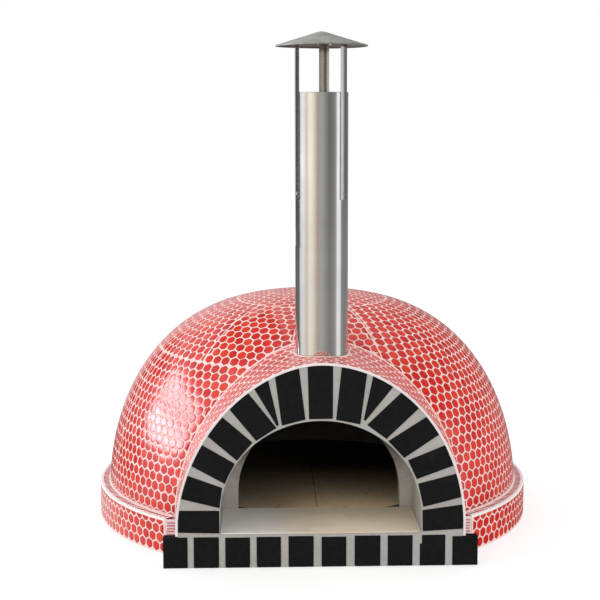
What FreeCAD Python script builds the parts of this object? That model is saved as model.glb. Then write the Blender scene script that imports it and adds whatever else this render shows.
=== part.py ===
import FreeCAD, Part
import math, os
from FreeCAD import Vector as V

# Wood fired pizza oven, built up the way such ovens are made: carrier slab,
# insulation board, hearth slabs, refractory dome, blanket, render shell and a
# hexagon mosaic skin, with a brick-faced gallery at the front and a steel flue.
# Millimetres. +Z up, front of the oven faces -Y, +X is to the right of somebody
# standing in front of it. Origin: centre of the round base on its underside.

# ---------------------------------------------------------------- dimensions
TILE_T = 6.0             # mosaic tile with its adhesive bed
RING_R = 590.0           # outside of the plinth ring, on the tiles
RING_TOP = 91.0          # top of the ledge, on the tiles
RING_END_Y = -449.0      # the ring stops here on both sides of the gallery
SLAB_R = 535.0           # carrier slab and floor insulation
SLAB_T = 20.0
BOARD_TOP = 55.0         # top of the floor insulation board
HEARTH_TOP = 85.0        # cooking floor
HEARTH_R = 384.0

DOME_Z0 = 67.0           # height where the dome curve starts
DOME_R = 563.0           # dome radius on the tiles
DOME_H = 602.0           # dome crown on the tiles
DOME_NR = 2.0 / 2.67     # shape exponents of the dome curve
DOME_NZ = 2.0 / 1.965
CROWN_FLAT = 3.0         # radius of the flat spot at the very top
RENDER_T = 22.0          # weatherproof render shell
REFR_R_OUT = 448.0       # refractory dome, outside
REFR_H_OUT = 489.0
CAV_R = 388.0            # cooking chamber
CAV_H = 429.0

FACE_Y = -560.0          # front of the brick face
SLIP_T = 25.0            # thickness of the brick slips
MORTAR_BACK = 2.5        # pointing lies this far behind the brick faces
ARCH_A = 351.0           # gallery outside half width, on the tiles
ARCH_B = 401.5           # gallery rise above its springing, on the tiles
ARCH_ZC = 100.0          # springing height of the outer curve
ARCH_N_LEFT = 1.84       # the hand-formed left haunch is a little flatter
ARCH_N_RIGHT = 2.0
# how far the gallery skin flares out towards the dome: (y, outward)
FLARE = [(-560.0, 0.0), (-520.0, 0.1), (-490.0, 0.8), (-460.0, 3.0), (-430.0, 7.0),
         (-400.0, 12.0), (-370.0, 17.0), (-330.0, 23.5), (-290.0, 30.0)]

GAL_A = 300.0            # gallery casting, outside half width
GAL_B = 318.0            # rise above the outer springing
TUN_A = 243.0            # gallery passage half width
TUN_B = 231.0            # rise above its springing
TUN_ZC = 130.0
MOUTH_Y = -345.0         # front plane of the inner mouth
MOUTH_T = 45.0
MOUTH_X = 5.0            # the inner mouth sits a touch off centre
MOUTH_A = 207.0
MOUTH_B = 203.0
MOUTH_RIM = 55.0

SILL_X = 381.0
SILL_TOP = 70.0          # top of the mortar between the sill slips
SILL_TOPS = (77.0, 77.0, 75.5, 76.5, 77.5, 75.0, 77.0, 76.5, 77.0, 73.0)   # cut height of each sill slip, left to right
WING_TOP = 44.0          # lower step of the sill beside the gallery

FLUE_X = 8.0
FLUE_Y = -412.0
FLUE_R = 65.0
FLUE_WALL = 1.5
FLUE_Z0 = 372.0
FLUE_Z1 = 1138.0
BORE_R = 69.0
COLLAR_TOP = 484.0
CAP_R = 112.0
CAP_RIM_Z = 1250.0
CAP_APEX_Z = 1284.0
CAP_T = 1.2
STRAP_W = 25.0
STRAP_T = 1.5
STRAP_Z0 = 881.0
STRAP_AZ = (82.0, 202.0, 322.0)
SCREW_Z = 896.0

os.makedirs("parts", exist_ok=True)


def save(name, shape):
    if shape.ShapeType == "Compound" and len(shape.Solids) == 1:
        shape = shape.Solids[0]
    shape.exportStep("parts/%s.step" % name)
    print("%-22s solids %2d  vol %9.1f cm3  valid %s" % (name, len(shape.Solids), shape.Volume / 1000.0, shape.isValid()))


def box(x0, x1, y0, y1, z0, z1):
    return Part.makeBox(x1 - x0, y1 - y0, z1 - z0, V(x0, y0, z0))


def cyl(r, z0, z1, x=0.0, y=0.0):
    return Part.makeCylinder(r, z1 - z0, V(x, y, z0))


def spline(points, t0, t1):
    c = Part.BSplineCurve()
    c.interpolate(Points=points, InitialTangent=t0, FinalTangent=t1)
    return c.toShape()


# ------------------------------------------------------------ dome envelopes
def dome(rad, top, zb):
    """Solid of revolution under the dome curve of this radius and crown."""
    pts = []
    n = 22
    for i in range(n + 1):
        t = math.pi / 2 * i / n
        r = rad * max(math.cos(t), 0.0) ** DOME_NR if i < n else CROWN_FLAT
        z = DOME_Z0 + (top - DOME_Z0) * math.sin(t) ** DOME_NZ
        pts.append(V(r, 0, z))
    curve = spline(pts, V(0, 0, 1), V(-1, 0, 0))
    zs = min(zb, DOME_Z0)
    edges = [Part.makeLine(V(0, 0, zs), V(rad, 0, zs))]
    if zs < DOME_Z0:
        edges.append(Part.makeLine(V(rad, 0, zs), V(rad, 0, DOME_Z0)))
    edges += [curve, Part.makeLine(V(CROWN_FLAT, 0, top), V(0, 0, top)), Part.makeLine(V(0, 0, top), V(0, 0, zs))]
    face = Part.Face(Part.Wire(edges))
    s = face.revolve(V(0, 0, 0), V(0, 0, 1), 360)
    if zb > DOME_Z0:
        s = s.common(box(-900, 900, -900, 900, zb, 900))
    return s


# ----------------------------------------------------------- arch envelopes
def arch_points(a, b, zc, nl, nr, x0=0.0, n=20):
    pts = []
    for i in range(2 * n + 1):
        th = math.pi * i / (2 * n)
        c, s = math.cos(th), max(math.sin(th), 0.0)
        e = 2.0 / (nr if i <= n else nl)
        x = a * math.copysign(abs(c) ** e, c) if abs(c) > 1e-9 else 0.0
        z = b * s ** e if s > 1e-9 else 0.0
        pts.append((x0 + x, zc + z))
    return pts


def arch_wire(a, b, zc, zb, y, nl=2.0, nr=2.0, x0=0.0):
    pts = [V(x, y, z) for x, z in arch_points(a, b, zc, nl, nr, x0)]
    curve = spline(pts, V(0, 0, 1), V(0, 0, -1))
    r, l = pts[0], pts[-1]
    return Part.Wire([Part.makeLine(V(r.x, y, zb), r), curve, Part.makeLine(l, V(l.x, y, zb)),
                      Part.makeLine(V(l.x, y, zb), V(r.x, y, zb))])


def arch_prism(a, b, zc, zb, y0, y1, nl=2.0, nr=2.0, x0=0.0):
    return Part.Face(arch_wire(a, b, zc, zb, y0, nl, nr, x0)).extrude(V(0, y1 - y0, 0))


def barrel(inset, zb, y0=FACE_Y):
    """Gallery envelope: the outer arch drawn back to the dome, flaring on the way."""
    wires = []
    for y, d in FLARE:
        y = max(y, y0)
        if wires and y <= y0:
            wires = []
        wires.append(arch_wire(ARCH_A + d - inset, ARCH_B + d - inset, ARCH_ZC, zb, y, ARCH_N_LEFT, ARCH_N_RIGHT))
    return Part.makeLoft(wires, True, False)


E1 = dome(DOME_R, DOME_H, HEARTH_TOP)
E2 = dome(DOME_R - TILE_T, DOME_H - TILE_T, HEARTH_TOP)
E2low = dome(DOME_R - TILE_T, DOME_H - TILE_T, 0.0)
E3 = dome(DOME_R - TILE_T - RENDER_T, DOME_H - TILE_T - RENDER_T, BOARD_TOP)
E4 = dome(REFR_R_OUT, REFR_H_OUT, BOARD_TOP)
E5 = dome(CAV_R, CAV_H, BOARD_TOP - 5)

B1 = barrel(0.0, WING_TOP)
B2 = barrel(TILE_T, WING_TOP - 4)
B3 = barrel(TILE_T + RENDER_T, HEARTH_TOP - 3)
G = arch_prism(GAL_A, GAL_B, ARCH_ZC, HEARTH_TOP - 3, FACE_Y + SLIP_T, MOUTH_Y)
tunnel = arch_prism(TUN_A, TUN_B, TUN_ZC, 40.0, FACE_Y - 20, MOUTH_Y)
M = arch_prism(MOUTH_A + MOUTH_RIM, MOUTH_B + MOUTH_RIM, TUN_ZC, HEARTH_TOP, MOUTH_Y, MOUTH_Y + MOUTH_T, x0=MOUTH_X)
mouth = arch_prism(MOUTH_A, MOUTH_B, TUN_ZC, HEARTH_TOP, MOUTH_Y - 1, -190.0, x0=MOUTH_X)
bore = cyl(BORE_R, FLUE_Z0, 700, FLUE_X, FLUE_Y)
core_y = RING_END_Y + TILE_T
behind = box(-900, 900, core_y, 900, -10, 900)
above_floor = box(-900, 900, -900, 900, HEARTH_TOP - 3, 900)

# ------------------------------------------------------------- base and floor
slab = cyl(SLAB_R, 0, SLAB_T).common(behind)
save("base_slab", slab)
board = cyl(SLAB_R, SLAB_T, BOARD_TOP).common(behind)
save("floor_insulation_board", board)

# four hearth slabs with 1.5 mm joints
hearth = cyl(HEARTH_R, BOARD_TOP, HEARTH_TOP).common(box(-900, 900, MOUTH_Y, 900, 0, 900))
j = 0.75
save("hearth_slab_front_left", hearth.common(box(-900, -j, -900, -j, 0, 900)))
save("hearth_slab_front_right", hearth.common(box(j, 900, -900, -j, 0, 900)))
save("hearth_slab_back_left", hearth.common(box(-900, -j, j, 900, 0, 900)))
save("hearth_slab_back_right", hearth.common(box(j, 900, j, 900, 0, 900)))

# plinth ring: a rendered core with its tiled outside and tiled ledge
ring_core = cyl(RING_R - TILE_T, 0, HEARTH_TOP).cut(cyl(SLAB_R, -1, HEARTH_TOP + 1)).common(behind)
save("ring_core", ring_core)
wall = cyl(RING_R, 1, RING_TOP).cut(cyl(RING_R - TILE_T, 0, RING_TOP + 1)).common(box(-900, 900, RING_END_Y, 900, 0, 200))
ends = cyl(RING_R, 1, RING_TOP).common(box(-900, 900, RING_END_Y, core_y, 0, 200))
ends = ends.cut(box(-ARCH_A - 3.6, ARCH_A + 3.6, -900, 0, -10, 300))
ring_mosaic = wall.fuse(ends).removeSplitter()
save("ring_mosaic", ring_mosaic)
ledge = cyl(RING_R - TILE_T, HEARTH_TOP, RING_TOP).common(behind).cut(E1).cut(B1)
save("ledge_mosaic", ledge)

# sill casting: stepped threshold block that carries gallery, landing and bricks
yb = FACE_Y + SLIP_T
sill_casting = box(-SILL_X, SILL_X, yb, -505, 0, WING_TOP)
sill_casting = sill_casting.fuse(box(-ARCH_A + TILE_T, ARCH_A - TILE_T, yb, core_y, 0, HEARTH_TOP - 3))
sill_casting = sill_casting.fuse(box(-265, 265, core_y, MOUTH_Y, BOARD_TOP, HEARTH_TOP - 3)).removeSplitter()
save("sill_casting", sill_casting)

# landing plate: folded stainless sheet lying on the threshold
landing = box(-TUN_A + 1, TUN_A - 1, FACE_Y + 8, MOUTH_Y - 1, HEARTH_TOP - 3, HEARTH_TOP)
save("landing_plate", landing)

# --------------------------------------------------------------- oven chamber
refractory = E4.cut(E5).cut(G.fuse(box(-GAL_A, GAL_A, yb, MOUTH_Y, 0, HEARTH_TOP))).cut(M).cut(mouth).cut(sill_casting)
jw = 1.5
left = refractory.common(box(-900, -jw / 2, -900, 150, 0, 900))
right = refractory.common(box(jw / 2, 900, -900, 150, 0, 900))
back = refractory.common(box(-900, 900, 150 + jw, 900, 0, 900))
save("dome_segment_left", left)
save("dome_segment_right", right)
save("dome_segment_back", back)
save("mouth_frame", M.cut(mouth).cut(bore))
gallery = G.cut(tunnel).cut(ring_core).cut(bore).cut(cyl(62.5, 300, 400, FLUE_X, FLUE_Y))
save("gallery_casting", gallery)

blanket = E3.cut(E4).cut(G).cut(M).cut(sill_casting).cut(ring_core).cut(bore).cut(box(-900, 900, -900, core_y, 0, HEARTH_TOP - 3))
blanket = blanket.cut(tunnel).common(box(-900, 900, yb, 900, 0, 900))
save("dome_blanket", blanket)
gallery_fill = B3.cut(E3).cut(G).cut(ring_core).cut(bore).cut(tunnel).common(box(-900, 900, yb, 900, 0, 900)).common(above_floor)
save("gallery_insulation", gallery_fill)

# ------------------------------------------------------------- render shells
shell_zone = box(-900, 900, -520, 900, 0, 900)
dome_render = E2.cut(E3).cut(B2).cut(bore).common(shell_zone)
save("dome_render", dome_render)
barrel_render = B2.cut(B3).cut(E3).cut(ring_core).cut(bore).cut(sill_casting).common(box(-900, 900, yb, 900, 0, 900)).common(above_floor)
save("gallery_render", barrel_render)

# ------------------------------------------------------------- mosaic skins
dome_mosaic = E1.cut(E2).cut(B1).cut(bore).common(shell_zone)
save("dome_mosaic", dome_mosaic)
gallery_mosaic = B1.cut(B2).cut(E2).cut(bore).cut(ring_core).cut(cyl(RING_R, 0, HEARTH_TOP).common(behind)).cut(ring_mosaic)
gallery_mosaic = gallery_mosaic.cut(box(-SILL_X - 1, 0, FACE_Y - 1, yb, 0, SILL_TOPS[0]))
gallery_mosaic = gallery_mosaic.cut(box(0, SILL_X + 1, FACE_Y - 1, yb, 0, SILL_TOPS[-1]))
save("gallery_mosaic", gallery_mosaic)

# --------------------------------------------------------------- brick face
# Hand-cut slips: corner coordinates (x, z), outer edge first.
BRICKS = [
    [(-346.0, 143.5), (-244.0, 142.5), (-244.0, 86.0), (-346.0, 89.0)],
    [(-324.0, 231.5), (-237.0, 199.0), (-243.0, 148.5), (-339.0, 173.0)],
    [(-288.0, 307.0), (-206.0, 258.0), (-230.0, 208.0), (-312.0, 254.0)],
    [(-239.0, 375.5), (-163.5, 309.5), (-201.0, 265.0), (-276.0, 330.0)],
    [(-182.0, 441.0), (-106.0, 344.5), (-155.0, 313.0), (-226.0, 400.5)],
    [(-167.5, 454.5), (-128.0, 471.5), (-100.5, 351.5), (-105.0, 348.5)],
    [(-110.5, 477.0), (-53.0, 494.5), (-37.0, 364.0), (-93.5, 350.0)],
    [(-32.0, 500.0), (29.0, 500.0), (28.5, 365.5), (-28.5, 365.0)],
    [(49.5, 494.0), (111.5, 486.0), (94.0, 351.5), (36.0, 363.0)],
    [(125.5, 475.0), (179.0, 450.0), (106.5, 360.0), (102.0, 362.5)],
    [(198.0, 434.0), (241.0, 396.0), (157.0, 315.0), (110.0, 350.0)],
    [(264.0, 376.0), (292.0, 330.5), (200.0, 268.0), (161.0, 310.0)],
    [(309.5, 303.5), (325.5, 250.5), (230.5, 215.5), (209.0, 262.5)],
    [(334.0, 230.5), (346.0, 171.5), (247.0, 146.5), (234.0, 204.5)],
    [(348.0, 152.5), (350.0, 91.5), (246.0, 86.0), (245.0, 139.0)],
]
SILL_BRICKS = [(-381.0, -321.5), (-307.0, -246.0), (-231.0, -171.0), (-155.5, -96.5), (-78.5, -17.5),
               (1.5, 61.5), (81.5, 144.0), (161.5, 222.0), (239.5, 301.5), (318.5, 381.0)]

face_zone = arch_prism(ARCH_A - TILE_T - 0.6, ARCH_B - TILE_T - 0.6, ARCH_ZC, 40.0, FACE_Y, yb, ARCH_N_LEFT, ARCH_N_RIGHT)
inner_zone = arch_prism(TUN_A + 1.6, TUN_B + 1.6, TUN_ZC, 40.0, FACE_Y - 5, yb + 5)


def chamfered(solid, c):
    """Break the front edges of a slip."""
    es = [e for e in solid.Edges if all(abs(v.Y - FACE_Y) < 1e-4 for v in e.Vertexes)]
    try:
        s = solid.makeChamfer(c, es)
        if s.isValid() and s.Volume > 0:
            return s
    except Exception:
        pass
    return solid


bricks = []
for k, poly in enumerate(BRICKS, 1):
    pts = [V(x, FACE_Y, z) for x, z in poly]
    f = Part.Face(Part.makePolygon(pts + [pts[0]]))
    b = f.extrude(V(0, SLIP_T, 0)).common(face_zone).cut(inner_zone)
    b = b.Solids[0]
    b = chamfered(b, 1.2)
    bricks.append(b)
    save("arch_brick_%02d" % k, b)

sills = []
for k, (x0, x1) in enumerate(SILL_BRICKS, 1):
    b = box(x0, x1, FACE_Y, yb, 0, SILL_TOPS[k - 1])
    if k == 9:
        # this one has lost a corner
        b = b.cut(box(x0 - 1, x0 + 5.0, FACE_Y - 1, yb + 1, 55.5, 90))
    b = chamfered(b, 1.2)
    sills.append(b)
    save("sill_brick_%02d" % k, b)

panel = arch_prism(ARCH_A - TILE_T, ARCH_B - TILE_T, ARCH_ZC, SILL_TOP, FACE_Y + MORTAR_BACK, yb, ARCH_N_LEFT, ARCH_N_RIGHT)
panel = panel.cut(arch_prism(TUN_A, TUN_B, TUN_ZC, HEARTH_TOP - 3, FACE_Y - 5, yb + 5)).cut(landing)
for b in bricks + sills:
    panel = panel.cut(b)
save("arch_mortar", panel)
joints = box(-SILL_X + 4, SILL_X - 4, FACE_Y + MORTAR_BACK, yb, 0, SILL_TOP)
for b in sills:
    joints = joints.cut(b)
save("sill_mortar", joints)

# --------------------------------------------------------------------- flue
collar = cyl(BORE_R, FLUE_Z0, COLLAR_TOP, FLUE_X, FLUE_Y).cut(cyl(FLUE_R + 1.5, FLUE_Z0 - 1, COLLAR_TOP + 1, FLUE_X, FLUE_Y))
save("flue_collar", collar)
seal = cyl(BORE_R, COLLAR_TOP, 640, FLUE_X, FLUE_Y).cut(cyl(FLUE_R + 0.3, COLLAR_TOP - 1, 641, FLUE_X, FLUE_Y)).common(B1.fuse(E1))
seal = max(seal.Solids, key=lambda q: q.Volume)
save("flue_seal", seal)
tube = cyl(FLUE_R, FLUE_Z0, FLUE_Z1, FLUE_X, FLUE_Y).cut(cyl(FLUE_R - FLUE_WALL, FLUE_Z0 - 1, FLUE_Z1 + 1, FLUE_X, FLUE_Y))
save("flue_tube", tube)

# rain cap: a shallow cone on three straps that clasp the tube
slope = (CAP_APEX_Z - CAP_RIM_Z) / CAP_R
drop = CAP_T * math.sqrt(1 + slope * slope)


def cone(r):
    return CAP_APEX_Z - slope * r


def revolve_profile(pts, ang=360.0, start=0.0):
    p = [V(r, 0, z) for r, z in pts]
    f = Part.Face(Part.makePolygon(p + [p[0]]))
    s = f.revolve(V(0, 0, 0), V(0, 0, 1), ang)
    s.rotate(V(0, 0, 0), V(0, 0, 1), start)
    s.translate(V(FLUE_X, FLUE_Y, 0))
    return s


cap = revolve_profile([(0, CAP_APEX_Z), (CAP_R, CAP_RIM_Z), (CAP_R, CAP_RIM_Z - drop), (0, CAP_APEX_Z - drop)])
save("cap_cone", cap)
ri, ro = FLUE_R + 0.1, FLUE_R + 0.1 + STRAP_T
half = math.degrees(STRAP_W / 2 / FLUE_R)
tab = 23.0
screws = []
for name, az in zip(("back", "left", "right"), STRAP_AZ):
    prof = [(ri, STRAP_Z0), (ro, STRAP_Z0), (ro, cone(ro) - drop - STRAP_T), (ro + tab, cone(ro + tab) - drop - STRAP_T),
            (ro + tab, cone(ro + tab) - drop), (ri, cone(ri) - drop)]
    strap = revolve_profile(prof, 2 * half, az - half)
    # screw: domed head outside the strap, shank ending at the strap's inner face
    a = math.radians(az)
    d = V(math.cos(a), math.sin(a), 0)
    base = V(FLUE_X, FLUE_Y, SCREW_Z)
    shank = Part.makeCylinder(2.0, STRAP_T + 0.4, base + d * ri, d)
    head = Part.makeCylinder(4.2, 1.6, base + d * (ro + 0.02), d)
    head = head.makeFillet(1.2, [e for e in head.Edges if abs((e.CenterOfMass - (base + d * (ro + 1.62))).Length) < 0.05]) if True else head
    strap = strap.cut(Part.makeCylinder(2.0, STRAP_T + 4, base + d * (ri - 1), d))
    save("cap_strap_" + name, strap)
    screws.append(shank.fuse(head).common(Part.makeCylinder(20, 40, base + d * (ri + 0.05), d)))
save("strap_screws", Part.makeCompound(screws))
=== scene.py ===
import math
import random

import bpy
import numpy as np
from mathutils import Matrix, Vector, noise
from mathutils.geometry import delaunay_2d_cdt


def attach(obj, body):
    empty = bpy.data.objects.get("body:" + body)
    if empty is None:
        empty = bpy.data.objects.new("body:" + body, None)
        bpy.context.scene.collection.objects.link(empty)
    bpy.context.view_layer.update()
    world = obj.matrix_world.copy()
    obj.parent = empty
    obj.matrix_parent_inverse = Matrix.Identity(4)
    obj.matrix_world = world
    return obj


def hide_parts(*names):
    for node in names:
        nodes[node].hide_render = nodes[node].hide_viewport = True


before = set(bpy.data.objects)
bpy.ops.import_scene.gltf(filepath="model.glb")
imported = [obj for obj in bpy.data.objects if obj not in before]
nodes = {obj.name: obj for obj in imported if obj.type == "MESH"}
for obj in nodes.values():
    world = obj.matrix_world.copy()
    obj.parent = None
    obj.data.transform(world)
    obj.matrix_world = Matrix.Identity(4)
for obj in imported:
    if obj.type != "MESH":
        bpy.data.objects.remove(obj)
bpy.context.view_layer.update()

scene = bpy.context.scene
rng = random.Random(11)
MM = 0.001

# ------------------------------------------------------------------ dimensions
# the same driving sizes as the CAD source, in mm
TILE_T = 6.0
RING_R, RING_TOP, RING_END_Y = 590.0, 91.0, -449.0
DOME_R, DOME_Z0, DOME_H, NR, NZ = 563.0, 67.0, 602.0, 2.67, 1.965
ARCH_A, ARCH_B, ARCH_ZC, N_LEFT, N_RIGHT = 351.0, 401.5, 100.0, 1.84, 2.0
FLARE = [(-560, 0), (-520, 0.1), (-490, 0.8), (-460, 3), (-430, 7), (-400, 12), (-370, 17), (-330, 23.5), (-290, 30)]
FACE_Y, SLIP_T = -560.0, 25.0
SILL_TOP, WING_TOP = 76.0, 44.0
FLUE_X, FLUE_Y, FLUE_R, FLUE_WALL, FLUE_Z0, FLUE_Z1 = 8.0, -412.0, 65.0, 1.5, 372.0, 1138.0
CAP_R, CAP_RIM_Z, CAP_APEX_Z, CAP_T = 112.0, 1250.0, 1284.0, 1.2

# mosaic
FLAT = 23.0           # tile, flat to flat
PITCH = 26.5          # tile to tile along a row
ROW = 22.95           # row to row
GROUT = 0.45          # how far the grout lies below the tile faces


# ------------------------------------------------------------------ small tools
def make_mesh(name, verts, loops, sizes, mats, smooth=True, colors=None, mat_index=None, sharp=None):
    """A mesh object from numpy arrays; verts in mm."""
    me = bpy.data.meshes.new(name)
    verts = np.asarray(verts, dtype=np.float64)
    loops = np.asarray(loops, dtype=np.int32)
    sizes = np.asarray(sizes, dtype=np.int32)
    me.vertices.add(len(verts))
    me.vertices.foreach_set("co", (verts * MM).astype(np.float32).ravel())
    me.loops.add(len(loops))
    me.loops.foreach_set("vertex_index", loops)
    me.polygons.add(len(sizes))
    starts = np.concatenate([[0], np.cumsum(sizes)[:-1]]).astype(np.int32)
    me.polygons.foreach_set("loop_start", starts)
    if mat_index is not None:
        me.polygons.foreach_set("material_index", np.asarray(mat_index, dtype=np.int32))
    me.update(calc_edges=True)
    me.validate()
    me.polygons.foreach_set("use_smooth", np.full(len(me.polygons), bool(smooth)))
    if sharp is not None:
        me.set_sharp_from_angle(angle=math.radians(sharp))
    if colors is not None:
        at = me.color_attributes.new(name="tile", type="FLOAT_COLOR", domain="POINT")
        at.data.foreach_set("color", np.asarray(colors, dtype=np.float32).ravel())
    for m in mats if isinstance(mats, (list, tuple)) else [mats]:
        me.materials.append(m)
    ob = bpy.data.objects.new(name, me)
    scene.collection.objects.link(ob)
    return ob


def piece(ob, body, *replaced, slot=None):
    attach(ob, body)
    if replaced:
        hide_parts(*replaced)
    return ob


class Bag:
    """Collects many small closed-top pieces into one mesh."""

    def __init__(self):
        self.v, self.c, self.loops, self.sizes, self.n = [], [], [], [], 0

    def tile(self, pts, rims, centre, ra, rb, haze_and_sheen=0.0):
        rings, k = pts.shape[:2]
        base = self.n
        col = np.empty((rings, k, 4))
        col[..., 0], col[..., 1], col[..., 3] = ra, rb, 1.0 - haze_and_sheen
        col[..., 2] = np.asarray(rims)[:, None]
        self.v.append(pts.reshape(-1, 3))
        self.c.append(col.reshape(-1, 4))
        i = np.arange(k)
        j = (i + 1) % k
        for r in range(rings - 1):
            a = base + r * k
            self.loops.append(np.stack([a + i, a + j, a + k + j, a + k + i], 1).ravel())
            self.sizes.append(np.full(k, 4))
        a = base + (rings - 1) * k
        apex = base + rings * k
        self.v.append(centre.reshape(1, 3))
        self.c.append(np.array([[ra, rb, 0.0, 1.0 - haze_and_sheen]]))
        self.loops.append(np.stack([a + i, a + j, np.full(k, apex)], 1).ravel())
        self.sizes.append(np.full(k, 3))
        self.n += rings * k + 1

    def obj(self, name, mat):
        return make_mesh(name, np.concatenate(self.v), np.concatenate(self.loops), np.concatenate(self.sizes), mat, colors=np.concatenate(self.c))


def hexagon(flat=FLAT, rho=4.0):
    """A rounded hexagon with a corner pointing up, counter-clockwise."""
    rc = flat / math.sqrt(3)
    t = rho * math.tan(math.radians(30))
    corners = [np.array([rc * math.cos(math.radians(90 + 60 * k)), rc * math.sin(math.radians(90 + 60 * k))]) for k in range(6)]
    out = []
    for k in range(6):
        c, p, q = corners[k], corners[k - 1], corners[(k + 1) % 6]
        dp, dq = (p - c) / np.linalg.norm(p - c), (q - c) / np.linalg.norm(q - c)
        inward = -c / np.linalg.norm(c)
        out += [c + dp * t, c + inward * rho * (1 / math.cos(math.radians(30)) - 1), c + dq * t]
    return np.array(out)


HEX = hexagon()


def clip(poly, f):
    """Keeps the part of a polygon where f(points) >= 0."""
    if poly is None:
        return None
    d = f(poly)
    if (d >= 0).all():
        return poly
    if (d < 0).all():
        return None
    out = []
    n = len(poly)
    for i in range(n):
        a, b, da, db = poly[i], poly[(i + 1) % n], d[i], d[(i + 1) % n]
        if da >= 0:
            out.append(a)
        if (da >= 0) != (db >= 0):
            out.append(a + (b - a) * (da / (da - db)))
    kept = []
    for p in out:
        if not kept or np.hypot(*(p - kept[-1])) > 0.3:
            kept.append(p)
    if len(kept) > 1 and np.hypot(*(kept[0] - kept[-1])) <= 0.3:
        kept.pop()
    return np.array(kept) if len(kept) >= 3 else None


def area_perimeter(poly):
    nxt = np.roll(poly, -1, 0)
    return 0.5 * float(np.sum(poly[:, 0] * nxt[:, 1] - nxt[:, 0] * poly[:, 1])), float(np.sum(np.hypot(*(nxt - poly).T)))


def inset(poly, k):
    prev, nxt = np.roll(poly, 1, 0), np.roll(poly, -1, 0)
    e1, e2 = poly - prev, nxt - poly
    e1 = e1 / np.maximum(np.hypot(*e1.T), 1e-6)[:, None]
    e2 = e2 / np.maximum(np.hypot(*e2.T), 1e-6)[:, None]
    n1, n2 = np.stack([-e1[:, 1], e1[:, 0]], 1), np.stack([-e2[:, 1], e2[:, 0]], 1)
    b = n1 + n2
    b = b / np.maximum(np.hypot(*b.T), 1e-6)[:, None]
    c = np.maximum((b * n1).sum(1), 0.5)
    return poly + b * (k / c)[:, None]


RINGS = ((0.0, -2.3, 1.0), (0.0, -0.42, 1.0), (0.9, -0.10, 0.9), (2.3, 0.0, 0.0))   # inset, height, rim factor


def lay(bag, poly, to3d, min_area=22.0, jitter=0.12, tilt=0.010, haze_and_sheen=0.0):
    """Adds one tile whose outline is poly, in the sheet's own plane; to3d(u, v, h) puts it on the surface."""
    if poly is None:
        return False
    a, p = area_perimeter(poly)
    if a < min_area or 2 * a / p < 1.35:
        return False
    inr = 2 * a / p
    c = poly.mean(0)
    h0 = rng.uniform(-jitter, 0.0)
    tu, tv = rng.gauss(0, tilt), rng.gauss(0, tilt)
    pts, rims = [], []
    for k, (ins, h, rim) in enumerate(RINGS):
        ring = poly if ins == 0 else inset(poly, min(ins, 0.5 * inr))
        hh = np.full(len(ring), h)
        if k:
            hh = np.minimum(hh + h0 + (ring[:, 0] - c[0]) * tu + (ring[:, 1] - c[1]) * tv, 0.0)
        pts.append(to3d(ring[:, 0], ring[:, 1], hh))
        rims.append(rim)
    centre = to3d(c[:1], c[1:2], np.array([min(h0 + 0.1, 0.0)]))
    bag.tile(np.array(pts), rims, centre, rng.random(), rng.random(), haze_and_sheen)
    return True


# ------------------------------------------------------------------ dome surface
_t = np.linspace(0, math.pi / 2, 8001)
RM = DOME_R * np.cos(_t) ** (2 / NR)
RM[-1] = 0.0
ZM = DOME_Z0 + (DOME_H - DOME_Z0) * np.sin(_t) ** (2 / NZ)
QM = np.concatenate([[0], np.cumsum(np.hypot(np.diff(RM), np.diff(ZM)))])
Q0 = float(np.interp(93.0, ZM, QM))
QM = QM - Q0
DRM, DZM = np.gradient(RM, QM), np.gradient(ZM, QM)
_l = np.hypot(DRM, DZM)
DRM, DZM = DRM / _l, DZM / _l
Q_TOP = float(QM[-1])


def dome_point(az, q, h):
    """az from -Y towards +X in radians, q along the meridian from the ledge, h outward."""
    r, z = np.interp(q, QM, RM), np.interp(q, QM, ZM)
    dr, dz = np.interp(q, QM, DRM), np.interp(q, QM, DZM)
    rr, zz = r + h * dz, z - h * dr
    return np.stack([rr * np.sin(az), -rr * np.cos(az), zz], -1)


def dome_dist(p):
    r = np.hypot(p[..., 0], p[..., 1])
    z = np.maximum(p[..., 2] - DOME_Z0, 1e-3) / (DOME_H - DOME_Z0)
    g = (r / DOME_R) ** NR + z ** NZ - 1
    gr = NR * (r / DOME_R) ** (NR - 1) / DOME_R
    gz = NZ * z ** (NZ - 1) / (DOME_H - DOME_Z0)
    return g / np.hypot(gr, gz)


# ------------------------------------------------------------------ gallery barrel
FY, FD = np.array([f[0] for f in FLARE], float), np.array([f[1] for f in FLARE], float)


def _profile():
    """Arch outline from the left foot over the crown to the right foot: x factor, z factor, drop below the springing, arc length, normal."""
    rows = []
    for z in np.linspace(40.0, ARCH_ZC, 25)[:-1]:
        rows.append((-1.0, 0.0, ARCH_ZC - z))
    for t in np.linspace(0, math.pi / 2, 900)[:-1]:
        rows.append((-math.cos(t) ** (2 / N_LEFT), math.sin(t) ** (2 / N_LEFT), 0.0))
    for t in np.linspace(math.pi / 2, 0, 900):
        rows.append((max(math.cos(t), 0) ** (2 / N_RIGHT), math.sin(t) ** (2 / N_RIGHT), 0.0))
    for z in np.linspace(ARCH_ZC, 40.0, 25)[1:]:
        rows.append((1.0, 0.0, ARCH_ZC - z))
    a = np.array(rows)
    x, z = ARCH_A * a[:, 0], ARCH_ZC + ARCH_B * a[:, 1] - a[:, 2]
    w = np.concatenate([[0], np.cumsum(np.hypot(np.diff(x), np.diff(z)))])
    keep = np.concatenate([[True], np.diff(w) > 1e-6])
    a, x, z, w = a[keep], x[keep], z[keep], w[keep]
    dx, dz = np.gradient(x, w), np.gradient(z, w)
    l = np.hypot(dx, dz)
    w0 = np.interp(0.0, x[(z > 300)], w[(z > 300)])
    return a, w - w0, -dz / l, dx / l


PA, PW, PNX, PNZ = _profile()


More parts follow.
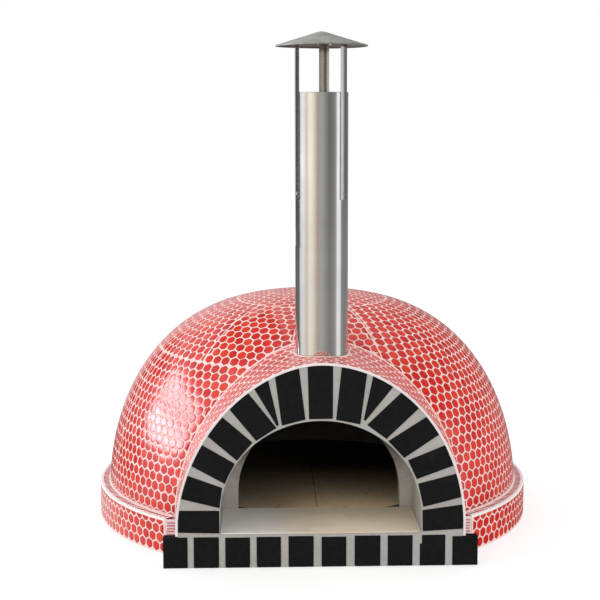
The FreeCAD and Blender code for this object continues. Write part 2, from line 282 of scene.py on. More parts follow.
def barrel_point(w, y, h):
    d = np.interp(y, FY, FD)
    cx, cz, dr = np.interp(w, PW, PA[:, 0]), np.interp(w, PW, PA[:, 1]), np.interp(w, PW, PA[:, 2])
    nx, nz = np.interp(w, PW, PNX), np.interp(w, PW, PNZ)
    return np.stack([cx * (ARCH_A + d) + h * nx, np.broadcast_to(y, np.shape(cx)) + 0.0, ARCH_ZC + cz * (ARCH_B + d) - dr + h * nz], -1)


def barrel_dist(p):
    x, y, z = p[..., 0], p[..., 1], p[..., 2]
    d = np.interp(y, FY, FD)
    n = np.where(x < 0, N_LEFT, N_RIGHT)
    a, b = ARCH_A + d, ARCH_B + d
    ax, az = np.maximum(np.abs(x), 1e-3) / a, np.maximum(z - ARCH_ZC, 1e-3) / b
    g = ax ** n + az ** n - 1
    dist = g / np.hypot(n * ax ** (n - 1) / a, n * az ** (n - 1) / b)
    dist = np.where(z < ARCH_ZC, np.abs(x) - a, dist)
    return dist


def flue_dist(p):
    return np.hypot(p[..., 0] - FLUE_X, p[..., 1] - FLUE_Y)


# ------------------------------------------------------------------ node graph helper
class Mat:
    def __init__(self, name):
        self.m = bpy.data.materials.new(name)
        self.m.use_nodes = True
        self.t = self.m.node_tree
        self.t.nodes.clear()
        self.out = self.t.nodes.new("ShaderNodeOutputMaterial")
        self.tc = None

    def node(self, kind, **kw):
        n = self.t.nodes.new(kind)
        for k, v in kw.items():
            setattr(n, k, v)
        return n

    def put(self, socket, value):
        if isinstance(value, bpy.types.NodeSocket):
            self.t.links.new(value, socket)
        elif isinstance(value, (tuple, list)) and len(value) == 3 and socket.type == "RGBA":
            socket.default_value = (*value, 1.0)
        else:
            socket.default_value = value

    def coord(self, scale=(1, 1, 1), rot=(0, 0, 0)):
        if self.tc is None:
            self.tc = self.node("ShaderNodeTexCoord").outputs["Object"]
        if tuple(scale) == (1, 1, 1) and tuple(rot) == (0, 0, 0):
            return self.tc
        n = self.node("ShaderNodeMapping")
        self.put(n.inputs["Vector"], self.tc)
        n.inputs["Scale"].default_value = scale
        n.inputs["Rotation"].default_value = rot
        return n.outputs["Vector"]

    def noise(self, scale, detail=3.0, rough=0.55, vec=None, distortion=0.0):
        n = self.node("ShaderNodeTexNoise")
        self.put(n.inputs["Vector"], vec if vec is not None else self.coord())
        n.inputs["Scale"].default_value = scale
        n.inputs["Detail"].default_value = detail
        n.inputs["Roughness"].default_value = rough
        n.inputs["Distortion"].default_value = distortion
        return n.outputs["Fac"]

    def voronoi(self, scale, feature="F1", vec=None, out="Distance"):
        n = self.node("ShaderNodeTexVoronoi", feature=feature)
        self.put(n.inputs["Vector"], vec if vec is not None else self.coord())
        n.inputs["Scale"].default_value = scale
        return n.outputs[out]

    def math(self, op, a, b=None, c=None, clamp=False):
        n = self.node("ShaderNodeMath", operation=op, use_clamp=clamp)
        self.put(n.inputs[0], a)
        if b is not None:
            self.put(n.inputs[1], b)
        if c is not None:
            self.put(n.inputs[2], c)
        return n.outputs[0]

    def remap(self, v, a, b, c=0.0, d=1.0, smooth=False):
        n = self.node("ShaderNodeMapRange", interpolation_type="SMOOTHSTEP" if smooth else "LINEAR")
        self.put(n.inputs["Value"], v)
        for k, x in zip(("From Min", "From Max", "To Min", "To Max"), (a, b, c, d)):
            self.put(n.inputs[k], x)
        return n.outputs["Result"]

    def mix(self, fac, a, b, blend="MIX"):
        n = self.node("ShaderNodeMix", data_type="RGBA", blend_type=blend)
        self.put(n.inputs[0], fac)
        self.put(n.inputs[6], a)
        self.put(n.inputs[7], b)
        return n.outputs[2]

    def ramp(self, fac, stops, interp="LINEAR"):
        n = self.node("ShaderNodeValToRGB")
        n.color_ramp.interpolation = interp
        e = n.color_ramp.elements
        while len(e) < len(stops):
            e.new(0.5)
        for el, (p, c) in zip(e, stops):
            el.position = p
            el.color = (*c, 1.0) if len(c) == 3 else c
        self.put(n.inputs["Fac"], fac)
        return n.outputs["Color"]

    def bump(self, height, strength=0.3, distance=0.001, normal=None):
        n = self.node("ShaderNodeBump")
        n.inputs["Strength"].default_value = strength
        n.inputs["Distance"].default_value = distance
        self.put(n.inputs["Height"], height)
        if normal is not None:
            self.put(n.inputs["Normal"], normal)
        return n.outputs["Normal"]

    def sep(self, vec):
        n = self.node("ShaderNodeSeparateXYZ")
        self.put(n.inputs[0], vec)
        return n.outputs[0], n.outputs[1], n.outputs[2]

    def attr(self, name):
        n = self.node("ShaderNodeAttribute", attribute_name=name, attribute_type="GEOMETRY")
        s = self.node("ShaderNodeSeparateColor")
        self.put(s.inputs[0], n.outputs["Color"])
        return s.outputs[0], s.outputs[1], s.outputs[2], n.outputs["Alpha"]

    def done(self, color, rough=0.5, metal=0.0, normal=None, spec=0.5, **kw):
        p = self.node("ShaderNodeBsdfPrincipled")
        self.put(p.inputs["Base Color"], color)
        self.put(p.inputs["Roughness"], rough)
        self.put(p.inputs["Metallic"], metal)
        self.put(p.inputs["Specular IOR Level"], spec)
        if normal is not None:
            self.put(p.inputs["Normal"], normal)
        for k, v in kw.items():
            self.put(p.inputs[k.replace("_", " ")], v)
        self.t.links.new(p.outputs[0], self.out.inputs["Surface"])
        return self.m


# ------------------------------------------------------------------ materials
def glaze(name, ior=1.63, spec=0.5):
    m = Mat(name)
    ra, rb, rim, clear = m.attr("tile")
    body = m.ramp(ra, [(0.0, (0.52, 0.008, 0.006)), (0.3, (0.63, 0.012, 0.007)), (0.62, (0.69, 0.020, 0.008)), (0.88, (0.73, 0.032, 0.010)), (1.0, (0.75, 0.052, 0.016))])
    # slow drift of colour over the skin, and a cloudy glaze within each tile
    drift = m.noise(2.3, 2.0)
    body = m.mix(m.remap(drift, 0.35, 0.65, 0.0, 0.30), body, (0.66, 0.014, 0.020))
    cloud = m.noise(95.0, 4.0, 0.6)
    body = m.mix(m.remap(cloud, 0.42, 0.75, 0.0, 0.22), body, (0.80, 0.066, 0.028))
    # glaze thins at the rim of each tile, and painted shade darkens the rim as the shadow round each tile
    body = m.mix(m.math("MULTIPLY", rim, 0.85), body, (0.24, 0.010, 0.009))
    # pinholes and specks of grout left on the glaze
    speck = m.math("GREATER_THAN", m.noise(700.0, 2.0, 0.5), 0.735)
    body = m.mix(m.math("MULTIPLY", speck, 0.35), body, (0.30, 0.012, 0.010))
    smear = m.remap(m.math("MULTIPLY", m.noise(34.0, 5.0, 0.7), rb), 0.52, 0.75, 0.0, 0.18)
    body = m.mix(smear, body, (0.86, 0.45, 0.42))
    # tiles with haze_and_sheen are mixed towards pale pink: a dull haze on the glaze and a painted sheen standing in
    # for pale grazing reflection
    body = m.mix(m.math("SUBTRACT", 1.0, clear), body, (0.80, 0.42, 0.44))
    rough = m.remap(m.noise(60.0, 3.0), 0.3, 0.7, 0.13, 0.23)
    rough = m.math("ADD", rough, m.math("MULTIPLY", smear, 0.5))
    rough = m.math("ADD", rough, m.math("MULTIPLY", rim, 0.05))
    ripple = m.bump(m.noise(85.0, 2.0, 0.4), 0.22, 0.0011)
    ripple = m.bump(m.noise(420.0, 3.0, 0.5), 0.06, 0.0004, ripple)
    return m.done(body, rough, 0.0, ripple, spec, IOR=ior)


def grout(name, a=(0.84, 0.775, 0.755), b=(0.90, 0.855, 0.835)):
    m = Mat(name)
    big, mid, fine = m.noise(7.0, 3.0), m.noise(60.0, 4.0, 0.6), m.noise(900.0, 3.0, 0.6)
    c = m.ramp(big, [(0.3, a), (0.7, b)])
    c = m.mix(m.remap(mid, 0.45, 0.8, 0.0, 0.5), c, tuple(0.86 * v for v in a))
    c = m.mix(m.remap(fine, 0.5, 0.8, 0.0, 0.35), c, tuple(0.78 * v for v in a))
    n = m.bump(fine, 0.35, 0.0006)
    n = m.bump(mid, 0.35, 0.0015, n)
    return m.done(c, m.remap(fine, 0.3, 0.7, 0.75, 0.95), 0.0, n, 0.3)


def black_slip(name):
    m = Mat(name)
    big, mid, fine = m.noise(9.0, 3.0), m.noise(75.0, 5.0, 0.65), m.noise(650.0, 4.0, 0.6)
    c = m.ramp(mid, [(0.3, (0.0050, 0.0050, 0.0052)), (0.6, (0.0085, 0.0085, 0.0087)), (0.85, (0.016, 0.016, 0.0162))])
    c = m.mix(m.remap(big, 0.4, 0.75, 0.0, 0.5), c, (0.010, 0.0105, 0.0115))
    dust = m.remap(m.math("MULTIPLY", fine, m.noise(16.0, 3.0)), 0.33, 0.5, 0.0, 0.22)
    c = m.mix(dust, c, (0.07, 0.067, 0.064))
    pits = m.remap(m.voronoi(330.0), 0.0, 0.28, 0.0, 1.0)
    n = m.bump(pits, 0.25, 0.0006)
    n = m.bump(fine, 0.30, 0.0008, n)
    n = m.bump(mid, 0.45, 0.0025, n)
    return m.done(c, m.remap(mid, 0.3, 0.7, 0.66, 0.88), 0.0, n, 0.10)


def mortar(name, a=(0.345, 0.325, 0.30), b=(0.405, 0.385, 0.358)):
    m = Mat(name)
    big, mid, fine = m.noise(11.0, 3.0), m.noise(120.0, 5.0, 0.65), m.noise(1100.0, 3.0, 0.6)
    c = m.ramp(big, [(0.3, a), (0.7, b)])
    c = m.mix(m.remap(mid, 0.5, 0.8, 0.0, 0.55), c, tuple(0.72 * v for v in a))
    sand = m.math("GREATER_THAN", m.noise(1500.0, 1.0), 0.66)
    c = m.mix(m.math("MULTIPLY", sand, 0.4), c, (0.24, 0.21, 0.185))
    drag = m.noise(38.0, 4.0, 0.6, m.coord((1.0, 1.0, 2.2)))
    n = m.bump(fine, 0.4, 0.0007)
    n = m.bump(mid, 0.35, 0.0016, n)
    n = m.bump(drag, 0.4, 0.004, n)
    return m.done(c, m.remap(mid, 0.3, 0.7, 0.84, 0.97), 0.0, n, 0.2)


def concrete(name, a, b, pores=0.5, bumpy=1.0):
    m = Mat(name)
    big, mid, fine = m.noise(5.0, 4.0), m.noise(42.0, 5.0, 0.6), m.noise(480.0, 4.0, 0.6)
    c = m.ramp(big, [(0.3, a), (0.7, b)])
    c = m.mix(m.remap(mid, 0.45, 0.8, 0.0, 0.5), c, tuple(0.8 * v for v in a))
    hole = m.remap(m.voronoi(110.0), 0.0, 0.16, 1.0, 0.0)
    c = m.mix(m.math("MULTIPLY", hole, pores), c, tuple(0.35 * v for v in a))
    n = m.bump(fine, 0.4 * bumpy, 0.0008)
    n = m.bump(m.math("SUBTRACT", mid, m.math("MULTIPLY", hole, 0.6)), 0.4 * bumpy, 0.003, n)
    return m.done(c, m.remap(mid, 0.3, 0.7, 0.78, 0.95), 0.0, n, 0.3)


def soot_and_shade(name, clean, z_soot_shade, z_clean, soot_shade_dark=(0.006, 0.0055, 0.005), floor_soot_shade=0.0):
    """Cast refractory, blackened above a ragged line: soot where the smoke runs, and painted shade of the dim inside of
    the oven.
    """
    m = Mat(name)
    x, y, z = m.sep(m.coord())
    big, mid, fine = m.noise(6.0, 4.0), m.noise(38.0, 5.0, 0.62), m.noise(420.0, 4.0, 0.6)
    c = m.ramp(big, [(0.3, tuple(0.88 * v for v in clean)), (0.7, clean)])
    c = m.mix(m.remap(mid, 0.45, 0.8, 0.0, 0.45), c, tuple(0.66 * v for v in clean))
    line = m.math("ADD", z, m.math("MULTIPLY", m.math("SUBTRACT", mid, 0.5), 0.06))
    # soot and painted shade: above the ragged line the colour goes to near black
    k = m.remap(line, z_clean, z_soot_shade, floor_soot_shade, 1.0, smooth=True)
    c = m.mix(k, c, m.mix(m.remap(fine, 0.3, 0.7, 0.0, 1.0), soot_shade_dark, tuple(2.2 * v for v in soot_shade_dark)))
    hole = m.remap(m.voronoi(90.0), 0.0, 0.14, 1.0, 0.0)
    n = m.bump(fine, 0.4, 0.0009)
    n = m.bump(m.math("SUBTRACT", mid, m.math("MULTIPLY", hole, 0.5)), 0.45, 0.003, n)
    return m.done(c, m.remap(mid, 0.3, 0.7, 0.82, 0.97), 0.0, n, 0.15)


def firebrick(name):
    m = Mat(name)
    x, y, z = m.sep(m.coord())
    big, mid, fine = m.noise(7.0, 4.0), m.noise(55.0, 5.0, 0.62), m.noise(600.0, 3.0, 0.6)
    c = m.ramp(big, [(0.3, (0.84, 0.63, 0.38)), (0.7, (0.94, 0.76, 0.51))])
    c = m.mix(m.remap(mid, 0.45, 0.8, 0.0, 0.4), c, (0.52, 0.39, 0.26))
    ash = m.remap(m.noise(13.0, 5.0, 0.7), 0.52, 0.72, 0.0, 0.40)
    c = m.mix(ash, c, (0.74, 0.68, 0.60))
    char = m.remap(m.noise(19.0, 5.0, 0.7, m.coord((1.0, 1.0, 1.0), (0, 0, 1.1))), 0.60, 0.75, 0.0, 0.8)
    c = m.mix(char, c, (0.07, 0.055, 0.045))
    grog = m.math("GREATER_THAN", m.noise(300.0, 1.0), 0.68)
    c = m.mix(m.math("MULTIPLY", grog, 0.35), c, (0.30, 0.20, 0.13))
    # painted shade: the hearth darkens away from the mouth
    painted_depth_shade = m.remap(m.math("ADD", y, m.math("MULTIPLY", m.math("SUBTRACT", big, 0.5), 0.10)), -0.38, 0.12, 0.0, 0.96, smooth=True)
    c = m.mix(painted_depth_shade, c, (0.022, 0.018, 0.015))
    # painted shade: the left of the hearth is darker
    c = m.mix(m.remap(x, -0.16, 0.06, 0.5, 0.0, smooth=True), c, (0.16, 0.14, 0.12))
    n = m.bump(fine, 0.4, 0.0008)
    n = m.bump(mid, 0.35, 0.002, n)
    return m.done(c, m.remap(mid, 0.3, 0.7, 0.8, 0.95), 0.0, n, 0.25)


def board(name, a, b, scale=1.0, fibre=False):
    m = Mat(name)
    v = m.coord((1, 1, 6) if fibre else (1, 1, 1))
    big, mid, fine = m.noise(6.0 * scale, 3.0), m.noise(70.0 * scale, 6.0, 0.7, v), m.noise(500.0, 4.0, 0.7, v)
    c = m.ramp(big, [(0.3, a), (0.7, b)])
    c = m.mix(m.remap(mid, 0.4, 0.8, 0.0, 0.4), c, tuple(0.82 * t for t in a))
    n = m.bump(fine, 0.5, 0.001)
    n = m.bump(mid, 0.5, 0.004, n)
    return m.done(c, 0.93, 0.0, n, 0.15)


def vermiculite(name):
    m = Mat(name)
    cell = m.voronoi(240.0, out="Color")
    s = m.node("ShaderNodeSeparateColor")
    m.put(s.inputs[0], cell)
    c = m.ramp(s.outputs[0], [(0.0, (0.50, 0.40, 0.27)), (0.4, (0.66, 0.56, 0.40)), (1.0, (0.80, 0.74, 0.62))])
    d = m.voronoi(240.0)
    n = m.bump(d, 0.8, 0.002)
    return m.done(c, m.remap(d, 0.0, 0.5, 0.55, 0.9), 0.0, n, 0.3)


def polished_tube(name):
    m = Mat(name)
    draw = m.noise(3.0, 5.0, 0.6, m.coord((60, 60, 0.7)))
    smudge = m.noise(9.0, 4.0, 0.6)
    fine = m.noise(40.0, 4.0, 0.6, m.coord((8, 8, 0.8)))
    x, y, z = m.sep(m.coord())
    heat = m.remap(m.math("ADD", z, m.math("MULTIPLY", m.math("SUBTRACT", smudge, 0.5), 0.12)), 0.50, 0.66, 1.0, 0.0, smooth=True)
    c = m.ramp(smudge, [(0.3, (0.70, 0.69, 0.67)), (0.7, (0.78, 0.77, 0.745))])
    c = m.mix(m.math("MULTIPLY", heat, 0.16), c, (0.70, 0.60, 0.42))
    r = m.remap(draw, 0.3, 0.7, 0.020, 0.050)
    r = m.math("ADD", r, m.remap(smudge, 0.5, 0.8, 0.0, 0.05))
    n = m.bump(draw, 0.035, 0.0004)
    n = m.bump(fine, 0.03, 0.0005, n)
    return m.done(c, r, 1.0, n, 0.5)


def brushed(name, a, b, r0=0.25, r1=0.42, vec=(3, 220, 220), stain=None, streak=0.10, metal=1.0, painted_left_reflection=None, skew=0.0):
    """skew turns the sheet's face a few degrees about the flue axis, as hand-bent strip never lies quite true."""
    m = Mat(name)
    lines = m.noise(6.0, 5.0, 0.65, m.coord(vec))
    blot = m.noise(11.0, 5.0, 0.65)
    c = m.ramp(blot, [(0.3, a), (0.7, b)])
    c = m.mix(m.remap(lines, 0.35, 0.7, 0.0, 0.35), c, tuple(0.72 * v for v in a))
    if stain:
        c = m.mix(m.remap(blot, 0.5, 0.72, 0.0, 0.5), c, stain)
    # painted reflection: the left of the sheet is mixed towards a cool pale grey
    if painted_left_reflection:
        x, y, z = m.sep(m.coord())
        c = m.mix(m.remap(m.math("ADD", x, m.math("MULTIPLY", blot, 0.10)), -0.14, 0.03, 1.0, 0.0, smooth=True), c, painted_left_reflection)
    n = None
    if skew:
        x, y, z = m.sep(m.coord())
        turn = m.math("ARCTAN2", m.math("SUBTRACT", y, FLUE_Y * MM), m.math("SUBTRACT", x, FLUE_X * MM))
        n = m.bump(m.math("MULTIPLY", turn, (FLUE_R + 1.0) * MM * math.tan(math.radians(skew))), 1.0, 1.0)
    n = m.bump(lines, streak, 0.0005, n)
    return m.done(c, m.remap(lines, 0.3, 0.7, r0, r1), metal, n, 0.5)


def galvanised(name, a=(0.34, 0.34, 0.315), b=(0.45, 0.45, 0.42), metal=0.7):
    m = Mat(name)
    cell = m.voronoi(55.0, out="Color")
    s = m.node("ShaderNodeSeparateColor")
    m.put(s.inputs[0], cell)
    blot = m.noise(16.0, 5.0, 0.65)
    c = m.mix(s.outputs[0], a, b)
    c = m.mix(m.remap(blot, 0.45, 0.75, 0.0, 0.55), c, tuple(0.6 * v for v in a))
    rain = m.noise(10.0, 4.0, 0.6, m.coord((10, 10, 1)))
    c = m.mix(m.remap(rain, 0.55, 0.8, 0.0, 0.3), c, tuple(1.3 * v for v in a))
    r = m.math("ADD", m.remap(s.outputs[1], 0.0, 1.0, 0.36, 0.50), m.remap(blot, 0.4, 0.7, 0.0, 0.14))
    n = m.bump(blot, 0.12, 0.001)
    return m.done(c, r, metal, n, 0.5)


def sealant(name):
    m = Mat(name)
    mid, fine = m.noise(90.0, 4.0, 0.6), m.noise(700.0, 3.0)
    c = m.ramp(mid, [(0.3, (0.66, 0.60, 0.57)), (0.7, (0.80, 0.75, 0.72))])
    n = m.bump(mid, 0.5, 0.002)
    n = m.bump(fine, 0.3, 0.0006, n)
    return m.done(c, m.remap(fine, 0.3, 0.7, 0.6, 0.85), 0.0, n, 0.35)


M_GLAZE = glaze("glazed_mosaic")
M_GALLERY = glaze("gallery_glaze", 2.0)
M_GROUT = grout("bead_grout", (0.86, 0.79, 0.785), (0.92, 0.87, 0.865))
M_BED = grout("mosaic_grout", (0.92, 0.58, 0.54), (0.96, 0.66, 0.62))
M_SLIP = black_slip("black_clay_slip")
M_MORTAR = mortar("face_mortar")
M_TUBE = polished_tube("polished_flue")
M_CAP = galvanised("weathered_cap")
M_CAP_IN = galvanised("cap_underside", (0.07, 0.07, 0.065), (0.12, 0.12, 0.11), metal=0.2)
M_SCREW = brushed("screw_steel", (0.50, 0.50, 0.49), (0.62, 0.62, 0.60), 0.2, 0.35, (60, 60, 60), (0.30, 0.22, 0.15))
M_SOOT = soot_and_shade("flue_soot", (0.05, 0.045, 0.04), -5.0, -10.0)

CAD_LOOK = {
    "base_slab": concrete("cast_concrete", (0.30, 0.29, 0.275), (0.38, 0.37, 0.35)),
    "floor_insulation_board": board("insulation_board", (0.70, 0.66, 0.58), (0.78, 0.75, 0.68)),
    "sill_casting": concrete("sill_concrete", (0.36, 0.335, 0.30), (0.45, 0.42, 0.38), 0.35),
    "ring_core": concrete("ring_render", (0.44, 0.415, 0.38), (0.53, 0.50, 0.46), 0.3),
    "dome_render": concrete("dome_render_coat", (0.44, 0.415, 0.38), (0.53, 0.50, 0.46), 0.2, 1.4),
    "gallery_render": concrete("gallery_render_coat", (0.44, 0.415, 0.38), (0.53, 0.50, 0.46), 0.2, 1.4),
    # jambs and mouth darken towards the top: soot and painted shade under the arch
    "gallery_casting": soot_and_shade("gallery_refractory", (0.46, 0.44, 0.405), 0.30, 0.16),
    "mouth_frame": soot_and_shade("mouth_refractory", (0.50, 0.475, 0.435), 0.30, 0.13),
    "arch_mortar": M_MORTAR,
    "sill_mortar": M_MORTAR,
    "dome_blanket": board("fibre_blanket", (0.80, 0.79, 0.76), (0.87, 0.86, 0.84), 1.0, True),
    "gallery_insulation": vermiculite("vermiculite_fill"),
    # landing: the cool grey on its left is a painted reflection
    "landing_plate": brushed("landing_steel", (0.70, 0.60, 0.47), (0.88, 0.79, 0.65), 0.42, 0.60, (4, 260, 260), (0.62, 0.50, 0.36), metal=0.0, painted_left_reflection=(0.84, 0.83, 0.82)),
    "flue_collar": brushed("collar_steel", (0.30, 0.29, 0.28), (0.40, 0.39, 0.37), 0.35, 0.55, (80, 80, 8), (0.10, 0.08, 0.06)),
    "flue_seal": sealant("heat_sealant"),
}
for n in nodes:
    if n.startswith("hearth_slab"):
        CAD_LOOK[n] = CAD_LOOK.get("hearth") or CAD_LOOK.setdefault("hearth", firebrick("hearth_firebrick"))
    elif n.startswith("dome_segment"):
        # the chamber is painted dark even at the floor: painted shade of the unlit inside, with soot above
        CAD_LOOK[n] = CAD_LOOK.get("segment") or CAD_LOOK.setdefault("segment", soot_and_shade("chamber_refractory", (0.30, 0.27, 0.23), 0.26, 0.08, floor_soot_shade=0.72))
    elif n.startswith("cap_strap"):
        side = n.split("_")[-1]
        CAD_LOOK[n] = brushed("strap_steel_" + side, (0.46, 0.46, 0.45), (0.60, 0.60, 0.58), 0.10, 0.18, (90, 90, 5), (0.36, 0.30, 0.24), skew={"right": 7.0, "left": 7.0, "back": -10.0}[side])
for n, look in CAD_LOOK.items():
    if n in nodes:
        o = nodes[n]
        if not o.material_slots:
            o.data.materials.append(look)
        for s in o.material_slots:
            s.material = look


# ------------------------------------------------------------------ dome mosaic
dome = Bag()
SEAM = 1.6            # half a seam between two cut tiles
CREASE = 1.6          # cut tiles stop this far from the crease


def dome_keep(p):
    return np.minimum(barrel_dist(p) - CREASE, flue_dist(p) - 71.5)


def dome_patch(rows, lo, hi, mid_az=None):
    """Rows of hexagons between two meridians (degrees), laid outwards from the meridian mid_az and cut at both edges."""
    phi = math.radians((lo + hi) / 2 if mid_az is None else mid_az)
    a0, a1 = math.radians(lo) - phi, math.radians(hi) - phi
    shift = rng.uniform(-2.0, 2.0)
    for k, q in enumerate(rows):
        r = float(np.interp(q, QM, RM))
        off = (PITCH / 2 if k % 2 else 0.0) + shift
        for j in range(int((a0 * r - off) / PITCH) - 2, int((a1 * r - off) / PITCH) + 3):
            uc = j * PITCH + off
            if uc < a0 * r - 16 or uc > a1 * r + 16:
                continue

            def to3d(u, v, h):
                return dome_point(phi + u / np.interp(v, QM, RM), v, h)

            mid = to3d(np.array([uc]), np.array([q]), 0.0)[0]
            if mid[1] < -250 and (barrel_dist(mid) < -18 or flue_dist(mid) < 54):
                continue
            du, dq, tw = rng.gauss(0, 0.25), rng.gauss(0, 0.25), rng.gauss(0, 0.012)
            poly = HEX @ np.array([[math.cos(tw), math.sin(tw)], [-math.sin(tw), math.cos(tw)]]) + np.array([uc + du, q + dq])
            # a rigid tile follows only part of the lean of the sheet
            poly[:, 0] += 0.55 * uc * (np.interp(poly[:, 1], QM, RM) / r - 1)
            if uc > a1 * r - 18:
                poly = clip(poly, lambda P: a1 * np.interp(P[:, 1], QM, RM) - SEAM - P[:, 0])
            if uc < a0 * r + 18:
                poly = clip(poly, lambda P: P[:, 0] - a0 * np.interp(P[:, 1], QM, RM) - SEAM)
            if q < 16:
                poly = clip(poly, lambda P: P[:, 1] - 1.6)
            if poly is not None and mid[1] < -240:
                poly = clip(poly, lambda P: dome_keep(to3d(P[:, 0], P[:, 1], 0.0)))
            lay(dome, poly, to3d)


LOWER = [386.6 - ROW * k - 1.1 * (k > 3) - 1.2 * (k > 8) + 0.25 * math.sin(k * 2.3) for k in range(17, -1, -1)]
UPPER = [413.6 + 22.6 * k for k in range(11)]
# one tall sheet right of the front runs from the ledge to the crown; round the rest a level seam parts two bands
dome_patch([639.6 - ROW * k for k in range(28, -1, -1)], 24, 100, 58)
for lo, hi in ((100, 132), (132, 164), (164, 196), (196, 228), (228, 258), (258, 288), (288, 338)):
    dome_patch(LOWER, lo, hi, 311 if lo == 288 else None)
dome_patch(LOWER[-6:], -22, 24)
for lo, hi in ((100, 136), (136, 172), (172, 208), (208, 244), (244, 280), (280, 316), (-44, -10), (-10, 24)):
    dome_patch(UPPER, lo, hi)

# the crown is one flat sheet trimmed to a circle
Q_CAP = 413.6 + 22.6 * 10 + 13.3 + 1.5
R_CAP = float(np.interp(Q_CAP, QM, RM))


def crown_point(u, v, h):
    r = np.hypot(u, v)
    r = np.maximum(r, 1e-6)
    az = np.arctan2(u, -v)
    q = np.interp(r, RM[::-1], QM[::-1])
    return dome_point(az, q, h)


for k in range(-10, 11):
    for j in range(-9, 10):
        c = np.array([j * PITCH + (PITCH / 2 if k % 2 else 0.0), k * ROW + 4.0])
        if np.hypot(*c) > R_CAP + 14:
            continue
        c = c + np.array([rng.gauss(0, 0.2), rng.gauss(0, 0.2)])
        lay(dome, clip(HEX + c, lambda P: R_CAP - np.hypot(P[:, 0], P[:, 1])), crown_point)
dome_tiles = piece(dome.obj("dome_mosaic_tiles", M_GLAZE), "oven", "dome_mosaic")


def grid_mesh(name, pts, keep, mat, wrap=False):
    """A quad sheet from a (rows, columns, 3) array; keep(centres) says which quads stay."""
    nr, nc = pts.shape[:2]
    idx = np.arange(nr * nc).reshape(nr, nc)
    a, d = idx[:-1, :], idx[1:, :]
    if wrap:
        b, c = np.roll(a, -1, 1), np.roll(d, -1, 1)
    else:
        a, b, d, c = a[:, :-1], a[:, 1:], d[:, :-1], d[:, 1:]
    quads = np.stack([a, b, c, d], -1).reshape(-1, 4)
    flat = pts.reshape(-1, 3)
    if keep is not None:
        quads = quads[keep(flat[quads].mean(1))]
    used = np.unique(quads)
    remap = np.zeros(len(flat), int)
    remap[used] = np.arange(len(used))
    return make_mesh(name, flat[used], remap[quads].ravel(), np.full(len(quads), 4), mat)


# grout bed of the dome
qs = np.concatenate([np.arange(-12.0, Q_TOP - 14, 9.0), np.linspace(Q_TOP - 12, Q_TOP - 0.4, 4)])
azs = np.linspace(0, 2 * math.pi, 361)[:-1]
gq, ga = np.meshgrid(qs, azs, indexing="ij")
pts = dome_point(ga, gq, -GROUT)
near = np.hypot(pts[..., 0] - FLUE_X, pts[..., 1] - FLUE_Y)
push = (pts[..., 2] > 300) & (near < 66.0) & (near > 50)
ang = np.arctan2(pts[..., 1] - FLUE_Y, pts[..., 0] - FLUE_X)
pts[..., 0] = np.where(push, FLUE_X + 66.0 * np.cos(ang), pts[..., 0])
pts[..., 1] = np.where(push, FLUE_Y + 66.0 * np.sin(ang), pts[..., 1])
dome_grout = grid_mesh("dome_mosaic_grout", pts, lambda c: ((barrel_dist(c) > -13) | (c[:, 1] > -290)) & (flue_dist(c) > 66), M_BED, wrap=True)
piece(dome_grout, "oven", "dome_mosaic")

# ------------------------------------------------------------------ gallery mosaic
gal = Bag()
W_MAX = float(PW[-1])


for k in range(14):
    yc = FACE_Y + 2.2 + 13.3 + ROW * k
    if yc > -300:
        break
    cols = int(W_MAX / PITCH) + 1
    for j in range(-cols, cols + 1):
        wc = j * PITCH + (PITCH / 2 if k % 2 else 0.0)
        if abs(wc) > W_MAX - 2:
            continue
        c = barrel_point(np.array([wc]), np.array([yc]), 0.0)[0]
        if dome_dist(c) < -16 or flue_dist(c) < 54:
            continue
        poly = HEX + np.array([wc + rng.gauss(0, 0.25), yc + rng.gauss(0, 0.25)])
        poly = clip(poly, lambda P: W_MAX - 1 - np.abs(P[:, 0]))
        poly = clip(poly, lambda P: dome_dist(barrel_point(P[:, 0], P[:, 1], 0.0)) - CREASE)
        poly = clip(poly, lambda P: flue_dist(barrel_point(P[:, 0], P[:, 1], 0.0)) - 71.5)
        if c[2] < 115:
            zf = (SILL_TOP + 2.0 if c[0] < 0 else SILL_TOP - 2.0) if yc < -520 else (WING_TOP + 2.0 if yc < RING_END_Y - 3 else RING_TOP + 2.5)
            poly = clip(poly, lambda P: barrel_point(P[:, 0], P[:, 1], 0.0)[:, 2] - zf)
            if poly is not None and yc < RING_END_Y and c[2] < RING_TOP + 6:
                poly = clip(poly, lambda P: RING_END_Y - 2.5 - P[:, 1])
        # gallery tiles: pale pink haze and painted sheen
        lay(gal, poly, barrel_point, haze_and_sheen=0.22)
gal_tiles = piece(gal.obj("gallery_mosaic_tiles", M_GALLERY), "oven", "gallery_mosaic")

ws = np.linspace(-W_MAX + 4.5, W_MAX - 4.5, 170)
ys = np.arange(FACE_Y + 1.5, -285.0, 7.0)
gy, gw = np.meshgrid(ys, ws, indexing="ij")
pts = barrel_point(gw, gy, -GROUT)
# the bed is opened for the flue and its edge drawn round it
near = np.hypot(pts[..., 0] - FLUE_X, pts[..., 1] - FLUE_Y)
up = pts[..., 2] > 300
push = up & (near < 68.5) & (near > 58)
ang = np.arctan2(pts[..., 1] - FLUE_Y, pts[..., 0] - FLUE_X)
pts[..., 0] = np.where(push, FLUE_X + 68.5 * np.cos(ang), pts[..., 0])
pts[..., 1] = np.where(push, FLUE_Y + 68.5 * np.sin(ang), pts[..., 1])


def gal_grout_keep(c):
    foot = np.where(c[:, 1] < FACE_Y + SLIP_T, SILL_TOP - 3, np.where(c[:, 1] < RING_END_Y, WING_TOP - 4, RING_TOP - 8))
    return (dome_dist(c) > -13) & ~((flue_dist(c) < 66) & (c[:, 2] > 300)) & (c[:, 2] > foot)


